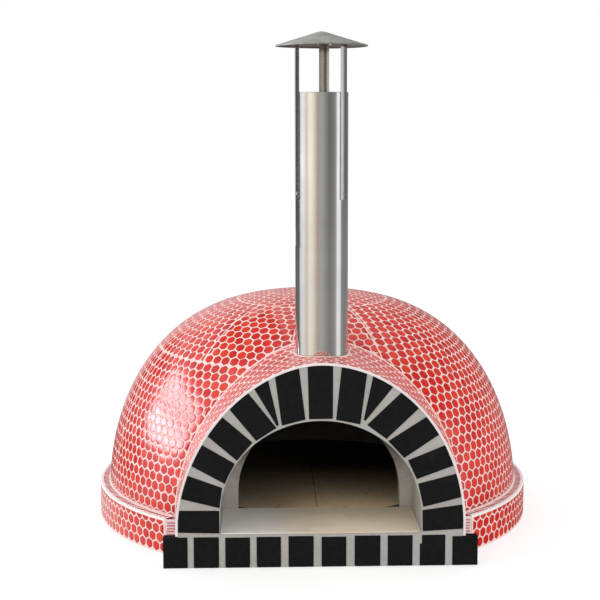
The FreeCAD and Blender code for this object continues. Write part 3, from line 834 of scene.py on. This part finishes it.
gal_grout = grid_mesh("gallery_mosaic_grout", pts, gal_grout_keep, M_BED)
piece(gal_grout, "oven", "gallery_mosaic")


def sweep(name, path, normals, section, axis, mat, closed=False, smooth=True):
    """section is (out, along-axis) points, carried along path; axis is the fixed third direction."""
    k = len(section)
    sec = np.asarray(section, float)
    verts = path[:, None, :] + normals[:, None, :] * sec[None, :, 0:1] + np.asarray(axis, float)[None, None, :] * sec[None, :, 1:2]
    n = len(path)
    loops = []
    for i in range(n if closed else n - 1):
        a, b = i, (i + 1) % n
        for j in range(k - 1):
            loops += [a * k + j, b * k + j, b * k + j + 1, a * k + j + 1]
    return make_mesh(name, verts.reshape(-1, 3), loops, [4] * (len(loops) // 4), mat, smooth=smooth)


# the white bead of grout that finishes the front edge of the gallery
wz = ARCH_ZC + ARCH_B * PA[:, 1] - PA[:, 2]
wf = PW[wz > np.where(PA[:, 0] < 0, 77.6, 73.6)][::4]
path = barrel_point(wf, np.full(len(wf), 0.0) + FACE_Y, 0.0)
wob = np.array([0.25 * noise.noise(Vector((w / 40.0, 3.1, 0.0))) for w in wf])
nrm = np.stack([np.interp(wf, PW, PNX), np.zeros(len(wf)), np.interp(wf, PW, PNZ)], -1)
path = path + nrm * (wob[:, None] - 0.25)
M_EDGE = grout("edge_bead_grout", (0.70, 0.63, 0.63), (0.79, 0.73, 0.73))
edge = sweep("gallery_edge_bead", path, nrm, [(-6.4, 5.0), (-6.3, 1.6), (-5.6, 0.5), (-4.4, 0.05), (-2.0, 0.05), (-0.9, 0.45), (-0.25, 1.3), (-0.2, 3.0), (-1.4, 6.0)], (0, 1, 0), M_EDGE)
piece(edge, "oven", "gallery_mosaic")

# ------------------------------------------------------------------ plinth ring mosaic
ring = Bag()
AZ_END = math.acos(-RING_END_Y / RING_R)      # where the ring stops, either side of the front


def ring_point(u, v, h):
    az = u / RING_R
    r = RING_R + h
    return np.stack([r * np.sin(az), -r * np.cos(az), v + 0.0 * u], -1)


N_RING = 140
for k, zc in enumerate([16.0, 16.0 + ROW, 16.0 + 2 * ROW, 16.0 + 3 * ROW]):
    for j in range(N_RING):
        uc = 2 * math.pi * RING_R * (j + (0.5 if k % 2 else 0.0)) / N_RING
        az = uc / RING_R
        if -RING_R * math.cos(az) < RING_END_Y - 16:
            continue
        poly = HEX + np.array([uc + rng.gauss(0, 0.25), zc + rng.gauss(0, 0.2)])
        poly = clip(poly, lambda P: -RING_R * np.cos(P[:, 0] / RING_R) - (RING_END_Y + 4.0))
        poly = clip(poly, lambda P: 84.6 - P[:, 1])
        lay(ring, poly, ring_point)
# cut pieces stacked on the two ends of the ring
for s in (-1, 1):
    z = 4.0
    while z < 84.0:
        hgt = rng.uniform(3.9, 4.7)
        x0, x1 = 357.6 + rng.uniform(0, 1.2), 379.4 - rng.uniform(0, 1.5)
        poly = np.array([(x0, z), (x1, z + rng.uniform(-0.4, 0.4)), (x1 + rng.uniform(-1, 1), z + hgt), (x0 + rng.uniform(-0.5, 1), z + hgt + rng.uniform(-0.4, 0.4))])
        if s < 0:
            poly = poly[::-1] * np.array([-1.0, 1.0])
        # the cut pieces get a stronger pale haze and painted sheen
        lay(ring, poly, lambda u, v, h: np.stack([u, RING_END_Y - h, v], -1), min_area=20, haze_and_sheen=0.45)
        z += 7.4
ring_tiles = piece(ring.obj("ring_mosaic_tiles", M_GLAZE), "oven", "ring_mosaic")

az = np.linspace(AZ_END, 2 * math.pi - AZ_END, 300)
r = RING_R - GROUT
wall = np.array([[(r * math.sin(a), -r * math.cos(a), z) for a in az] for z in (1.0, 12.0, 25.0, 38.0, 51.0, 64.0, 77.0, 86.5)])
ring_bed = grid_mesh("ring_mosaic_grout", wall, None, M_BED)
piece(ring_bed, "oven", "ring_mosaic")


def rounded(points):
    return [(float(a), float(b)) for a, b in points]


# rounded bead along the top outer edge, slightly uneven as struck by finger
path = np.array([(RING_R * math.sin(a), -RING_R * math.cos(a), RING_TOP) for a in az])
nrm = np.array([(math.sin(a), -math.cos(a), 0.0) for a in az])
wob = np.array([0.35 * noise.noise(Vector((a * 14.0, 1.7, 0.0))) - 0.3 for a in az])
arc = [(-3.4 + 3.4 * math.sin(t), -3.4 + 3.4 * math.cos(t)) for t in np.linspace(0, math.pi / 2, 8)]
section = [(-1.6, -7.4), (-0.5, -6.6), (0.0, -5.6)] + arc[::-1] + [(-5.6, 0.0), (-6.8, -0.4), (-7.6, -1.4)]
bead = sweep("ring_edge_bead", path + nrm * wob[:, None] + np.array([0, 0, 1.0]) * (wob[:, None] - 0.1), nrm, section, (0, 0, 1), M_GROUT)
piece(bead, "oven", "ring_mosaic")
# ends: grout face and the upright bead at each corner
xs = np.linspace(355.8, math.sqrt(RING_R ** 2 - RING_END_Y ** 2) - 0.8, 6)
for s, side in ((-1, "left"), (1, "right")):
    x = xs if s > 0 else -xs[::-1]
    g = np.array([[(a, RING_END_Y + GROUT, z) for a in x] for z in np.linspace(1.0, RING_TOP - 1.5, 12)])
    piece(grid_mesh("ring_end_grout_" + side, g, None, M_GROUT), "oven", "ring_mosaic")
    xc = s * (math.sqrt(RING_R ** 2 - RING_END_Y ** 2) - 3.2)
    zz = np.linspace(1.0, RING_TOP - 3.0, 40)
    ring_v, k = [], 14
    for z in zz:
        rr = 3.0 + 0.25 * noise.noise(Vector((z / 9.0, s * 4.0, 0.0)))
        for i in range(k):
            t = 2 * math.pi * i / k
            ring_v.append((xc + rr * math.cos(t), RING_END_Y + 3.3 + rr * math.sin(t), z))
    loops = []
    for i in range(len(zz) - 1):
        for j in range(k):
            loops += [i * k + j, i * k + (j + 1) % k, (i + 1) * k + (j + 1) % k, (i + 1) * k + j]
    sizes = [4] * (len(loops) // 4)
    loops += [(len(zz) - 1) * k + j for j in range(k)]
    sizes.append(k)
    piece(make_mesh("ring_corner_bead_" + side, ring_v, loops, sizes, M_GROUT), "oven", "ring_mosaic")

# ------------------------------------------------------------------ ledge
led = Bag()
R_LED = 574.0


def ledge_point(u, v, h):
    az = u / R_LED
    r = R_LED - v
    return np.stack([r * np.sin(az), -r * np.cos(az), RING_TOP + h + 0.0 * u], -1)


n_led = int(round(2 * math.pi * R_LED / 13.0))
for j in range(n_led):
    uc = 2 * math.pi * R_LED * j / n_led
    a = uc / R_LED
    if -R_LED * math.cos(a) < RING_END_Y - 10:
        continue
    hw = 4.0 + rng.uniform(-0.4, 0.4)
    lo, hi = -7.4 + rng.uniform(-0.8, 0.8), 8.8 + rng.uniform(-0.7, 0.3)
    poly = np.array([(uc - hw, lo + rng.uniform(0, 1.0)), (uc - hw + 1.0, lo), (uc + hw - 1.0, lo), (uc + hw, lo + rng.uniform(0, 1.0)), (uc + hw, hi - 2.2), (uc + rng.uniform(-1.5, 1.5), hi), (uc - hw, hi - 2.2)])
    if math.cos(a) > 0:
        poly = clip(poly, lambda P: barrel_dist(ledge_point(P[:, 0], P[:, 1], 0.0)) - CREASE)
    poly = clip(poly, lambda P: ledge_point(P[:, 0], P[:, 1], 0.0)[:, 1] - (RING_END_Y + 4.0))
    lay(led, poly, ledge_point, min_area=35)
piece(led.obj("ledge_mosaic_tiles", glaze("ledge_glaze", 1.45, 0.3)), "oven", "ledge_mosaic")
flat = np.array([[(rr * math.sin(a), -rr * math.cos(a), RING_TOP - 0.5) for a in az] for rr in (588.0, 582.0, 574.0, 566.0, 559.5)])
piece(grid_mesh("ledge_mosaic_grout", flat, None, M_GROUT), "oven", "ledge_mosaic")


# ------------------------------------------------------------------ hand-cut black slips
def front_outline(node):
    """The outline of a slip's front face, from the CAD solid, counter-clockwise as seen from the front (x, z)."""
    me = nodes[node].data
    co = np.empty(len(me.vertices) * 3)
    me.vertices.foreach_get("co", co)
    co = co.reshape(-1, 3) / MM
    y0 = co[:, 1].min()
    seen = {}
    key = lambda v: (round(co[v, 0], 2), round(co[v, 2], 2))
    for p in me.polygons:
        vs = list(p.vertices)
        if all(co[v, 1] < y0 + 0.05 for v in vs):
            for a, b in zip(vs, vs[1:] + vs[:1]):
                ka, kb = key(a), key(b)
                if ka == kb:
                    continue
                if (kb, ka) in seen:
                    del seen[(kb, ka)]
                else:
                    seen[(ka, kb)] = True
    nxt = {a: b for a, b in seen}
    start = next(iter(nxt))
    loop, cur = [start], nxt[start]
    while cur != start and len(loop) < 5000:
        loop.append(cur)
        cur = nxt[cur]
    loop = np.array(loop, float)
    if area_perimeter(loop)[0] < 0:
        loop = loop[::-1]
    return loop, y0, co[:, 1].max()


def densify(loop, step):
    out = []
    n = len(loop)
    for i in range(n):
        a, b = loop[i], loop[(i + 1) % n]
        k = max(1, int(math.ceil(np.hypot(*(b - a)) / step)))
        for t in range(k):
            out.append(a + (b - a) * t / k)
    kept = [out[0]]
    for p in out[1:]:
        if np.hypot(*(p - kept[-1])) > 0.45 * step:
            kept.append(p)
    if np.hypot(*(kept[0] - kept[-1])) < 0.45 * step:
        kept.pop()
    return np.array(kept)


def inside(poly, pts):
    x, y = pts[:, 0], pts[:, 1]
    res = np.zeros(len(pts), bool)
    n = len(poly)
    for i in range(n):
        (xa, ya), (xb, yb) = poly[i], poly[(i + 1) % n]
        cond = (ya > y) != (yb > y)
        xi = xa + (y - ya) * (xb - xa) / (yb - ya if yb != ya else 1e-9)
        res ^= cond & (x < xi)
    return res


def slip(node, seed, chips, relief=0.9):
    loop, y0, y1 = front_outline(node)
    rnd = random.Random(seed)
    base = inset(densify(loop, 3.4), -1.2)         # back out over the chamfer
    out = base.copy()
    centre = base.mean(0)
    nrm = inset(base, 1.0) - base
    spots = [(base[rnd.randrange(len(base))], rnd.uniform(4.0, 8.5), rnd.uniform(1.2, 2.8)) for _ in range(chips)]
    for i, p in enumerate(base):
        a = 0.15 + 0.55 * (0.5 + 0.5 * noise.noise(Vector((p[0] / 8.0, p[1] / 8.0, seed * 3.7))))
        a += 0.35 * max(0.0, noise.noise(Vector((p[0] / 3.1, p[1] / 3.1, seed * 1.3))))
        for c, rad, dep in spots:
            d = np.hypot(*(p - c)) / rad
            if d < 1:
                a += dep * (1 - d * d)
        out[i] = p + nrm[i] * a

    def bulge(x, z):
        big = 0.5 + 0.5 * noise.noise(Vector((x / 33.0, z / 33.0, seed * 2.1)))
        fine = 0.5 + 0.5 * noise.noise(Vector((x / 8.0, z / 8.0, seed * 5.3)))
        return relief * (0.75 * big + 0.25 * fine)

    def layer(poly, y):
        return [(p[0], y(p) if callable(y) else y, p[1]) for p in poly]

    back = y1 - 0.4
    face = inset(out, 1.5)
    verts = layer(out, back) + layer(inset(out, 0.15), (y0 + back) / 2) + layer(out, y0 + 1.9) + layer(inset(out, 0.45), y0 + 0.9) + layer(face, lambda p: y0 + 0.35 + 0.6 * bulge(p[0], p[1]))
    k = len(out)
    loops, sizes = [], []
    for r in range(4):
        for i in range(k):
            j = (i + 1) % k
            loops += [r * k + i, r * k + j, (r + 1) * k + j, (r + 1) * k + i]
            sizes.append(4)
    # uneven front face
    lo, hi = face.min(0), face.max(0)
    grid = []
    for a in np.arange(lo[0], hi[0], 8.0):
        for b in np.arange(lo[1], hi[1], 8.0):
            grid.append((a + rnd.uniform(-1.8, 1.8), b + rnd.uniform(-1.8, 1.8)))
    grid = np.array(grid)
    grid = grid[inside(inset(face, 3.0), grid)]
    coords = [Vector((float(a), float(b))) for a, b in face] + [Vector((float(a), float(b))) for a, b in grid]
    ring_e = [(i, (i + 1) % k) for i in range(k)]
    vv, _e, ff, ov, _oe, _of = delaunay_2d_cdt(coords, ring_e, [list(range(k))], 1, 1e-5)
    index = {}
    for i, v in enumerate(vv):
        src = ov[i]
        if src and src[0] < k:
            index[i] = 4 * k + src[0]
        else:
            index[i] = len(verts)
            verts.append((v.x, y0 + bulge(v.x, v.y), v.y))
    for f in ff:
        ids = [index[i] for i in f]
        a, b, c = (vv[i] for i in f[:3])
        if (b.x - a.x) * (c.y - a.y) - (c.x - a.x) * (b.y - a.y) < 0:
            ids = ids[::-1]
        loops += ids
        sizes.append(len(ids))
    ob = make_mesh(node + "_slip", verts, loops, sizes, M_SLIP, smooth=True, sharp=48)
    return piece(ob, "oven", node)


for k in range(1, 16):
    slip("arch_brick_%02d" % k, 10 + k, rng.choice((0, 1, 1, 2)))
for k in range(1, 11):
    slip("sill_brick_%02d" % k, 60 + k, rng.choice((0, 1, 1)), 0.7)


# ------------------------------------------------------------------ flue, cap and screws
def lathe(name, profile, mats, segs, centre=(FLUE_X, FLUE_Y), wobble=None, closed=True, mat_of=None, sharp=None):
    k = len(profile)
    verts = []
    for i in range(segs):
        t = 2 * math.pi * i / segs
        for j, (r, z) in enumerate(profile):
            rr, zz = (r, z) if wobble is None else wobble(t, r, z)
            verts.append((centre[0] + rr * math.sin(t), centre[1] - rr * math.cos(t), zz))
    loops, sizes, mi = [], [], []
    for i in range(segs):
        a, b = i * k, ((i + 1) % segs) * k
        for j in range(k if closed else k - 1):
            j2 = (j + 1) % k
            loops += [a + j, b + j, b + j2, a + j2]
            sizes.append(4)
            mi.append(mat_of(j) if mat_of else 0)
    return make_mesh(name, verts, loops, sizes, mats, smooth=True, mat_index=mi, sharp=sharp)


zs = list(np.linspace(FLUE_Z0 + 0.6, FLUE_Z1 - 3.0, 60))
rim = [(FLUE_R - 0.75 + 0.95 * math.cos(t), FLUE_Z1 - 1.0 + 0.95 * math.sin(t)) for t in np.linspace(-0.6, math.pi + 0.6, 11)]
inner = [(FLUE_R - FLUE_WALL, z) for z in np.linspace(FLUE_Z1 - 3.0, FLUE_Z0 + 0.6, 12)]
prof = [(FLUE_R, z) for z in zs] + rim + inner
n_out = len(zs) + len(rim)


def tube_wobble(t, r, z):
    d = 0.06 * math.sin(2 * t + 0.6 + z / 310.0) * math.sin(z / 130.0 + 0.8) + 0.035 * math.sin(5 * t + z / 90.0)
    d += 0.03 * noise.noise(Vector((math.sin(t) * 2.1, math.cos(t) * 2.1, z / 55.0)))
    return r - 0.10 + d, z


tube = lathe("flue_tube_polished", prof, [M_TUBE, M_SOOT], 256, wobble=tube_wobble, mat_of=lambda j: 0 if j < n_out - 2 else 1)
piece(tube, "flue", "flue_tube")

slope = (CAP_APEX_Z - CAP_RIM_Z) / CAP_R
outer = []
for r in list(np.linspace(3.0, 12.0, 5)) + list(np.linspace(18.0, CAP_R - 3.2, 18)):
    z = CAP_APEX_Z - slope * r
    outer.append((r, z - 0.10 * math.sin(r / 4.5)))
outer = [(0.02, CAP_APEX_Z - 1.2), (1.4, CAP_APEX_Z - 1.35)] + [(r, min(z, CAP_APEX_Z - 1.35 - 0.10 * r)) if r < 10 else (r, z) for r, z in outer]
roll_c = (CAP_R - 1.9, CAP_APEX_Z - slope * (CAP_R - 1.9) - 1.6)
roll = [(roll_c[0] + 1.75 * math.sin(t), roll_c[1] + 1.75 * math.cos(t)) for t in np.linspace(0.1, math.pi + 1.1, 12)]
under = [(r, CAP_APEX_Z - slope * r - 1.25) for r in np.linspace(CAP_R - 4.4, 2.0, 16)] + [(0.02, CAP_APEX_Z - 2.6)]
prof = outer + roll + under
n_top = len(outer) + len(roll)


def cap_wobble(t, r, z):
    f = min(1.0, r / CAP_R)
    return r, z + f * f * (0.45 * math.sin(2 * t + 0.9) + 0.25 * math.sin(3 * t + 2.1)) - 0.35 * f * f


cap = lathe("cap_cone_spun", prof, [M_CAP, M_CAP_IN], 160, wobble=cap_wobble, closed=False, mat_of=lambda j: 0 if j < n_top - 3 else 1)
piece(cap, "rain_cap", "cap_cone")

# screw heads at the strap feet
me = nodes["strap_screws"].data
co = np.empty(len(me.vertices) * 3)
me.vertices.foreach_get("co", co)
co = co.reshape(-1, 3) / MM
ang = np.arctan2(co[:, 1] - FLUE_Y, co[:, 0] - FLUE_X)
groups, todo = [], list(range(len(co)))
while todo:
    a0 = ang[todo[0]]
    grp = [i for i in todo if abs(math.atan2(math.sin(ang[i] - a0), math.cos(ang[i] - a0))) < 0.5]
    groups.append(grp)
    todo = [i for i in todo if i not in set(grp)]
verts, loops, sizes = [], [], []
for grp in groups:
    c = co[grp].mean(0)
    rad = np.hypot(co[grp][:, 0] - FLUE_X, co[grp][:, 1] - FLUE_Y)
    d = np.array([c[0] - FLUE_X, c[1] - FLUE_Y, 0.0])
    d /= np.linalg.norm(d)
    side, upv = np.cross([0, 0, 1.0], d), np.array([0, 0, 1.0])
    head = (co[grp][:, 2].max() - co[grp][:, 2].min()) / 2
    r_out, r_in = rad.max(), rad.min()
    o = np.array([FLUE_X, FLUE_Y, c[2]])
    prof = [(head * 0.45, r_in), (head, r_in + 0.02), (head, r_in + 0.55 * (r_out - r_in)), (head * 0.88, r_in + 0.85 * (r_out - r_in)), (head * 0.62, r_out - 0.02), (head * 0.42, r_out)]
    base, seg = len(verts), 36
    for r_, q_ in prof:
        for i in range(seg):
            t = 2 * math.pi * i / seg
            verts.append(o + d * q_ + side * r_ * math.cos(t) + upv * r_ * math.sin(t))
    for a in range(len(prof) - 1):
        for i in range(seg):
            j = (i + 1) % seg
            loops += [base + a * seg + i, base + a * seg + j, base + (a + 1) * seg + j, base + (a + 1) * seg + i]
            sizes.append(4)
    # recessed drive: a six-sided socket
    b2 = len(verts)
    for dep in (0.0, min(0.9, 0.6 * (r_out - r_in))):
        for i in range(seg):
            t = 2 * math.pi * i / seg
            f = math.cos(math.pi / 6) / math.cos((t % (math.pi / 3)) - math.pi / 6)
            verts.append(o + d * (r_out - dep) + side * head * 0.36 * f * math.cos(t) + upv * head * 0.36 * f * math.sin(t))
    last = base + (len(prof) - 1) * seg
    for i in range(seg):
        j = (i + 1) % seg
        loops += [last + i, last + j, b2 + j, b2 + i]
        sizes.append(4)
        loops += [b2 + i, b2 + j, b2 + seg + j, b2 + seg + i]
        sizes.append(4)
    loops += [b2 + seg + i for i in range(seg)]
    sizes.append(seg)
screws = make_mesh("strap_screw_heads", np.array(verts), loops, sizes, M_SCREW, smooth=True, sharp=35)
piece(screws, "rain_cap", "strap_screws")

# ------------------------------------------------------------------ stage, light, camera
scene.view_settings.view_transform = "Standard"
scene.view_settings.look = "None"
scene.view_settings.exposure = 0.0
scene.view_settings.gamma = 1.0

world = bpy.data.worlds.new("studio")
scene.world = world
world.use_nodes = True
wb = world.node_tree.nodes.get("Background") or world.node_tree.nodes.new("ShaderNodeBackground")
wb.inputs["Color"].default_value = (1.0, 1.0, 1.0, 1.0)
wb.inputs["Strength"].default_value = 1.0

fl = Mat("studio_floor")
grain = fl.noise(3.0, 3.0)
dif = fl.node("ShaderNodeBsdfDiffuse")
fl.put(dif.inputs["Color"], fl.ramp(grain, [(0.3, (0.50, 0.50, 0.50)), (0.7, (0.52, 0.52, 0.52))]))
emi = fl.node("ShaderNodeEmission")
emi.inputs["Color"].default_value = (1, 1, 1, 1)
emi.inputs["Strength"].default_value = 0.55
add = fl.node("ShaderNodeAddShader")
fl.t.links.new(dif.outputs[0], add.inputs[0])
fl.t.links.new(emi.outputs[0], add.inputs[1])
fl.t.links.new(add.outputs[0], fl.out.inputs["Surface"])
fr = [0.0, 0.6, 0.9, 1.3, 2.0, 3.5, 7.0, 15.0, 40.0]
fv, floops, fs = [], [], []
for r_ in fr[1:]:
    fv += [(r_ * 1000 * math.cos(2 * math.pi * i / 96), r_ * 1000 * math.sin(2 * math.pi * i / 96), -0.3) for i in range(96)]
for a in range(len(fr) - 2):
    for i in range(96):
        j = (i + 1) % 96
        floops += [a * 96 + i, (a + 1) * 96 + i, (a + 1) * 96 + j, a * 96 + j]
        fs.append(4)
floops += list(range(96))
fs.append(96)
floor = make_mesh("studio_floor", np.array(fv), floops, fs, fl.m)
floor.visible_glossy = False


def aim(ob, target):
    d = Vector(target) - ob.location
    ob.rotation_mode = "QUATERNION"
    ob.rotation_quaternion = d.to_track_quat("-Z", "Y")


def area(name, loc, target, sx, sy, radiance, color=(1, 1, 1), diffuse=True, glossy=True):
    li = bpy.data.lights.new(name, "AREA")
    li.shape = "RECTANGLE"
    li.size, li.size_y = sx, sy
    li.color = color
    li.energy = radiance * math.pi * sx * sy
    ob = bpy.data.objects.new(name, li)
    ob.location = loc
    scene.collection.objects.link(ob)
    aim(ob, target)
    ob.visible_diffuse = diffuse
    ob.visible_glossy = glossy
    ob.visible_camera = False
    return ob


def around(az_deg, el_deg, dist, origin=(0.0, 0.0, 0.0)):
    a, e = math.radians(az_deg), math.radians(el_deg)
    return (origin[0] + dist * math.cos(e) * math.sin(a), origin[1] - dist * math.cos(e) * math.cos(a), origin[2] + dist * math.sin(e))


# broad key from the left and a weak one from the front
area("key_left", around(-70, 42, 3.4), (0, 0, 0.35), 1.8, 1.4, 2.2, (1.0, 0.985, 0.96), glossy=False)
area("fill_front", around(14, 22, 3.6), (0, -0.4, 0.2), 1.2, 0.8, 2.0, (1.0, 0.97, 0.93), glossy=False)
# small warm bounce at the mouth, for the landing and the front of the hearth
area("bounce_mouth", (0.06, -0.53, 0.265), (0.06, -0.40, 0.07), 0.22, 0.07, 2.4, (1.0, 0.90, 0.76), glossy=False)
# two boxes that show as highlights on the left of the dome
hl = (-0.40, -0.29, 0.36)
area("box_low", around(-100, 11.5, 2.6, hl), hl, 2.9, 0.60, 12.0, (1.0, 0.90, 0.98), diffuse=False)
area("box_high", around(-101, 27, 2.6, hl), hl, 2.1, 0.50, 9.5, (1.0, 0.86, 0.96), diffuse=False)

# a banded wall round the flue, seen only in polished surfaces; degrees from the front towards +X
# an ordinary product studio: a dark flag, a pale box, a warm wall, a dim room and a white strip, in round levels
STUDIO = [(-140, 0.10), (-115, 0.10), (-103, (0.70, 0.72, 0.75)), (-85, (0.80, 0.80, 0.80)), (-70, (0.65, 0.60, 0.55)), (-55, (0.90, 0.85, 0.75)),
          (-40, (0.80, 0.75, 0.65)), (-20, (0.45, 0.40, 0.35)), (0, 0.40), (15, 0.30), (30, 0.20), (50, 0.25), (60, 0.35),
          (70, (0.85, 0.85, 0.90)), (82, (0.85, 0.85, 0.90)), (95, 0.25), (120, 0.20), (145, 0.25)]
# lower down the same room, blurred by haze on the floor side
SOFT = [(a, tuple(0.75 * v + 0.10 for v in (c if isinstance(c, tuple) else (c, c, c)))) for a, c in STUDIO]
GAIN = 1.42
A_WALL = 152.0


def bands(m, fac, stops):
    return m.ramp(fac, [((a + A_WALL) / (2 * A_WALL), c if isinstance(c, tuple) else (c, c, c)) for a, c in stops])


def band_material(name, z_low, z_high, spread=1.0, shift=0.0):
    """spread and shift undo the offset of a sheet that stands close to the flue (degrees)."""
    m = Mat(name)
    x, y, z = m.sep(m.coord())
    sway = m.math("MULTIPLY", m.math("SUBTRACT", m.noise(1.4, 2.0, 0.5, m.coord((0.15, 0.15, 1.0))), 0.5), 0.10)
    turn = m.math("ARCTAN2", m.math("SUBTRACT", x, FLUE_X * MM), m.math("SUBTRACT", FLUE_Y * MM, y))
    turn = m.math("ADD", m.math("MULTIPLY", turn, spread), math.radians(shift))
    fac = m.remap(m.math("ADD", turn, sway), -math.radians(A_WALL), math.radians(A_WALL))
    col = m.mix(m.remap(z, z_low, z_high, 0.0, 1.0, smooth=True), bands(m, fac, SOFT), bands(m, fac, STUDIO))
    g = m.node("ShaderNodeGamma")
    m.put(g.inputs["Color"], col)
    g.inputs["Gamma"].default_value = 1.25
    e = m.node("ShaderNodeEmission")
    m.put(e.inputs["Color"], g.outputs["Color"])
    e.inputs["Strength"].default_value = GAIN
    m.t.links.new(e.outputs[0], m.out.inputs["Surface"])
    return m.m


def bent_sheet(name, rows, a0, a1, mat):
    g = np.array([[(FLUE_X + r * math.sin(a), FLUE_Y - r * math.cos(a), z) for a in np.radians(np.linspace(a0, a1, 120))] for r, z in rows])
    return grid_mesh(name, g, None, mat)


wall_ob = bent_sheet("studio_wall", ((1050.0, 3.0), (2250.0, 3.0), (3100.0, 3.0), (3100.0, 500.0), (3100.0, 1000.0), (3100.0, 1500.0)), -A_WALL, A_WALL, band_material("studio_wall_bands", 0.25, 0.90))
wall_ob.visible_camera = False
wall_ob.visible_diffuse = False
wall_ob.visible_shadow = False
wall_ob.visible_transmission = False

# a narrow screen of the same bands keeps the left boxes out of the flue
screen = bent_sheet("studio_screen", ((560.0, 760.0), (560.0, 1000.0), (560.0, 1400.0), (560.0, 1800.0)), -150.0, -58.0, band_material("studio_screen_bands", 0.579, 0.971, 1.025, -0.7))
screen.visible_camera = False
screen.visible_diffuse = False
screen.visible_shadow = False
screen.visible_transmission = False

card = bent_sheet("studio_card", ((250.0, 500.0), (250.0, 620.0), (250.0, 745.0)), -150.0, -58.0, band_material("studio_card_bands", 0.622, 0.981, 1.065, -1.8))
card.visible_camera = False
card.visible_diffuse = False
card.visible_shadow = False
card.visible_transmission = False

# the rest of the studio as the glossy surfaces see it: pale behind and overhead, dimmer to the sides
sh = Mat("studio_shell")
sx, sy_, sz = sh.sep(sh.coord((0.125, 0.125, 0.125)))
back = sh.math("MULTIPLY", sh.remap(sy_, -0.1, 0.8, 0.0, 1.0, smooth=True), sh.remap(sx, -0.2, 0.45, 0.48, 0.10, smooth=True))
side = sh.math("ADD", 0.27, back)
side = sh.math("MAXIMUM", sh.math("SUBTRACT", side, sh.math("MULTIPLY", sx, 0.24)), 0.07)
level = sh.math("ADD", side, sh.remap(sz, 0.66, 0.98, 0.0, 0.50, smooth=True))
se = sh.node("ShaderNodeEmission")
sh.put(se.inputs["Color"], sh.mix(sh.noise(1.1, 2.0), (1.0, 0.99, 0.97), (0.94, 0.97, 1.0)))
sh.put(se.inputs["Strength"], level)
sh.t.links.new(se.outputs[0], sh.out.inputs["Surface"])
g = np.array([[(8000 * math.cos(e) * math.sin(a), -8000 * math.cos(e) * math.cos(a), 8000 * math.sin(e)) for a in np.linspace(0, 2 * math.pi, 97)[:-1]] for e in np.radians(np.linspace(-60, 90, 26))])
shell = grid_mesh("studio_shell", g, None, sh.m, wrap=True)
shell.visible_camera = False
shell.visible_diffuse = False
shell.visible_shadow = False
shell.visible_transmission = False

# camera
PITCH_A, YAW, ROLL = math.radians(7.79), math.radians(1.74), math.radians(-0.11)
cy, sy = math.cos(YAW), math.sin(YAW)
f = Vector((sy, cy, 0))
r = Vector((cy, -sy, 0))
u = Vector((0, 0, 1))
cp, sp = math.cos(PITCH_A), math.sin(PITCH_A)
f2, u2 = f * cp - u * sp, f * sp + u * cp
cr, sr = math.cos(ROLL), math.sin(ROLL)
right, upv = r * cr + u2 * sr, -r * sr + u2 * cr
cam_data = bpy.data.cameras.new("camera")
cam_data.sensor_fit = "HORIZONTAL"
cam_data.sensor_width = 36.0
cam_data.lens = 1342.0 * 36.0 / 600.0
cam_data.clip_start, cam_data.clip_end = 0.05, 200.0
cam_data.dof.use_dof = False
cam = bpy.data.objects.new("camera", cam_data)
scene.collection.objects.link(cam)
mw = Matrix.Identity(4)
for i in range(3):
    mw[i][0], mw[i][1], mw[i][2] = right[i], upv[i], -f2[i]
mw[0][3], mw[1][3], mw[2][3] = -0.14455, -3.68573, 1.08029
cam.matrix_world = mw
scene.camera = cam
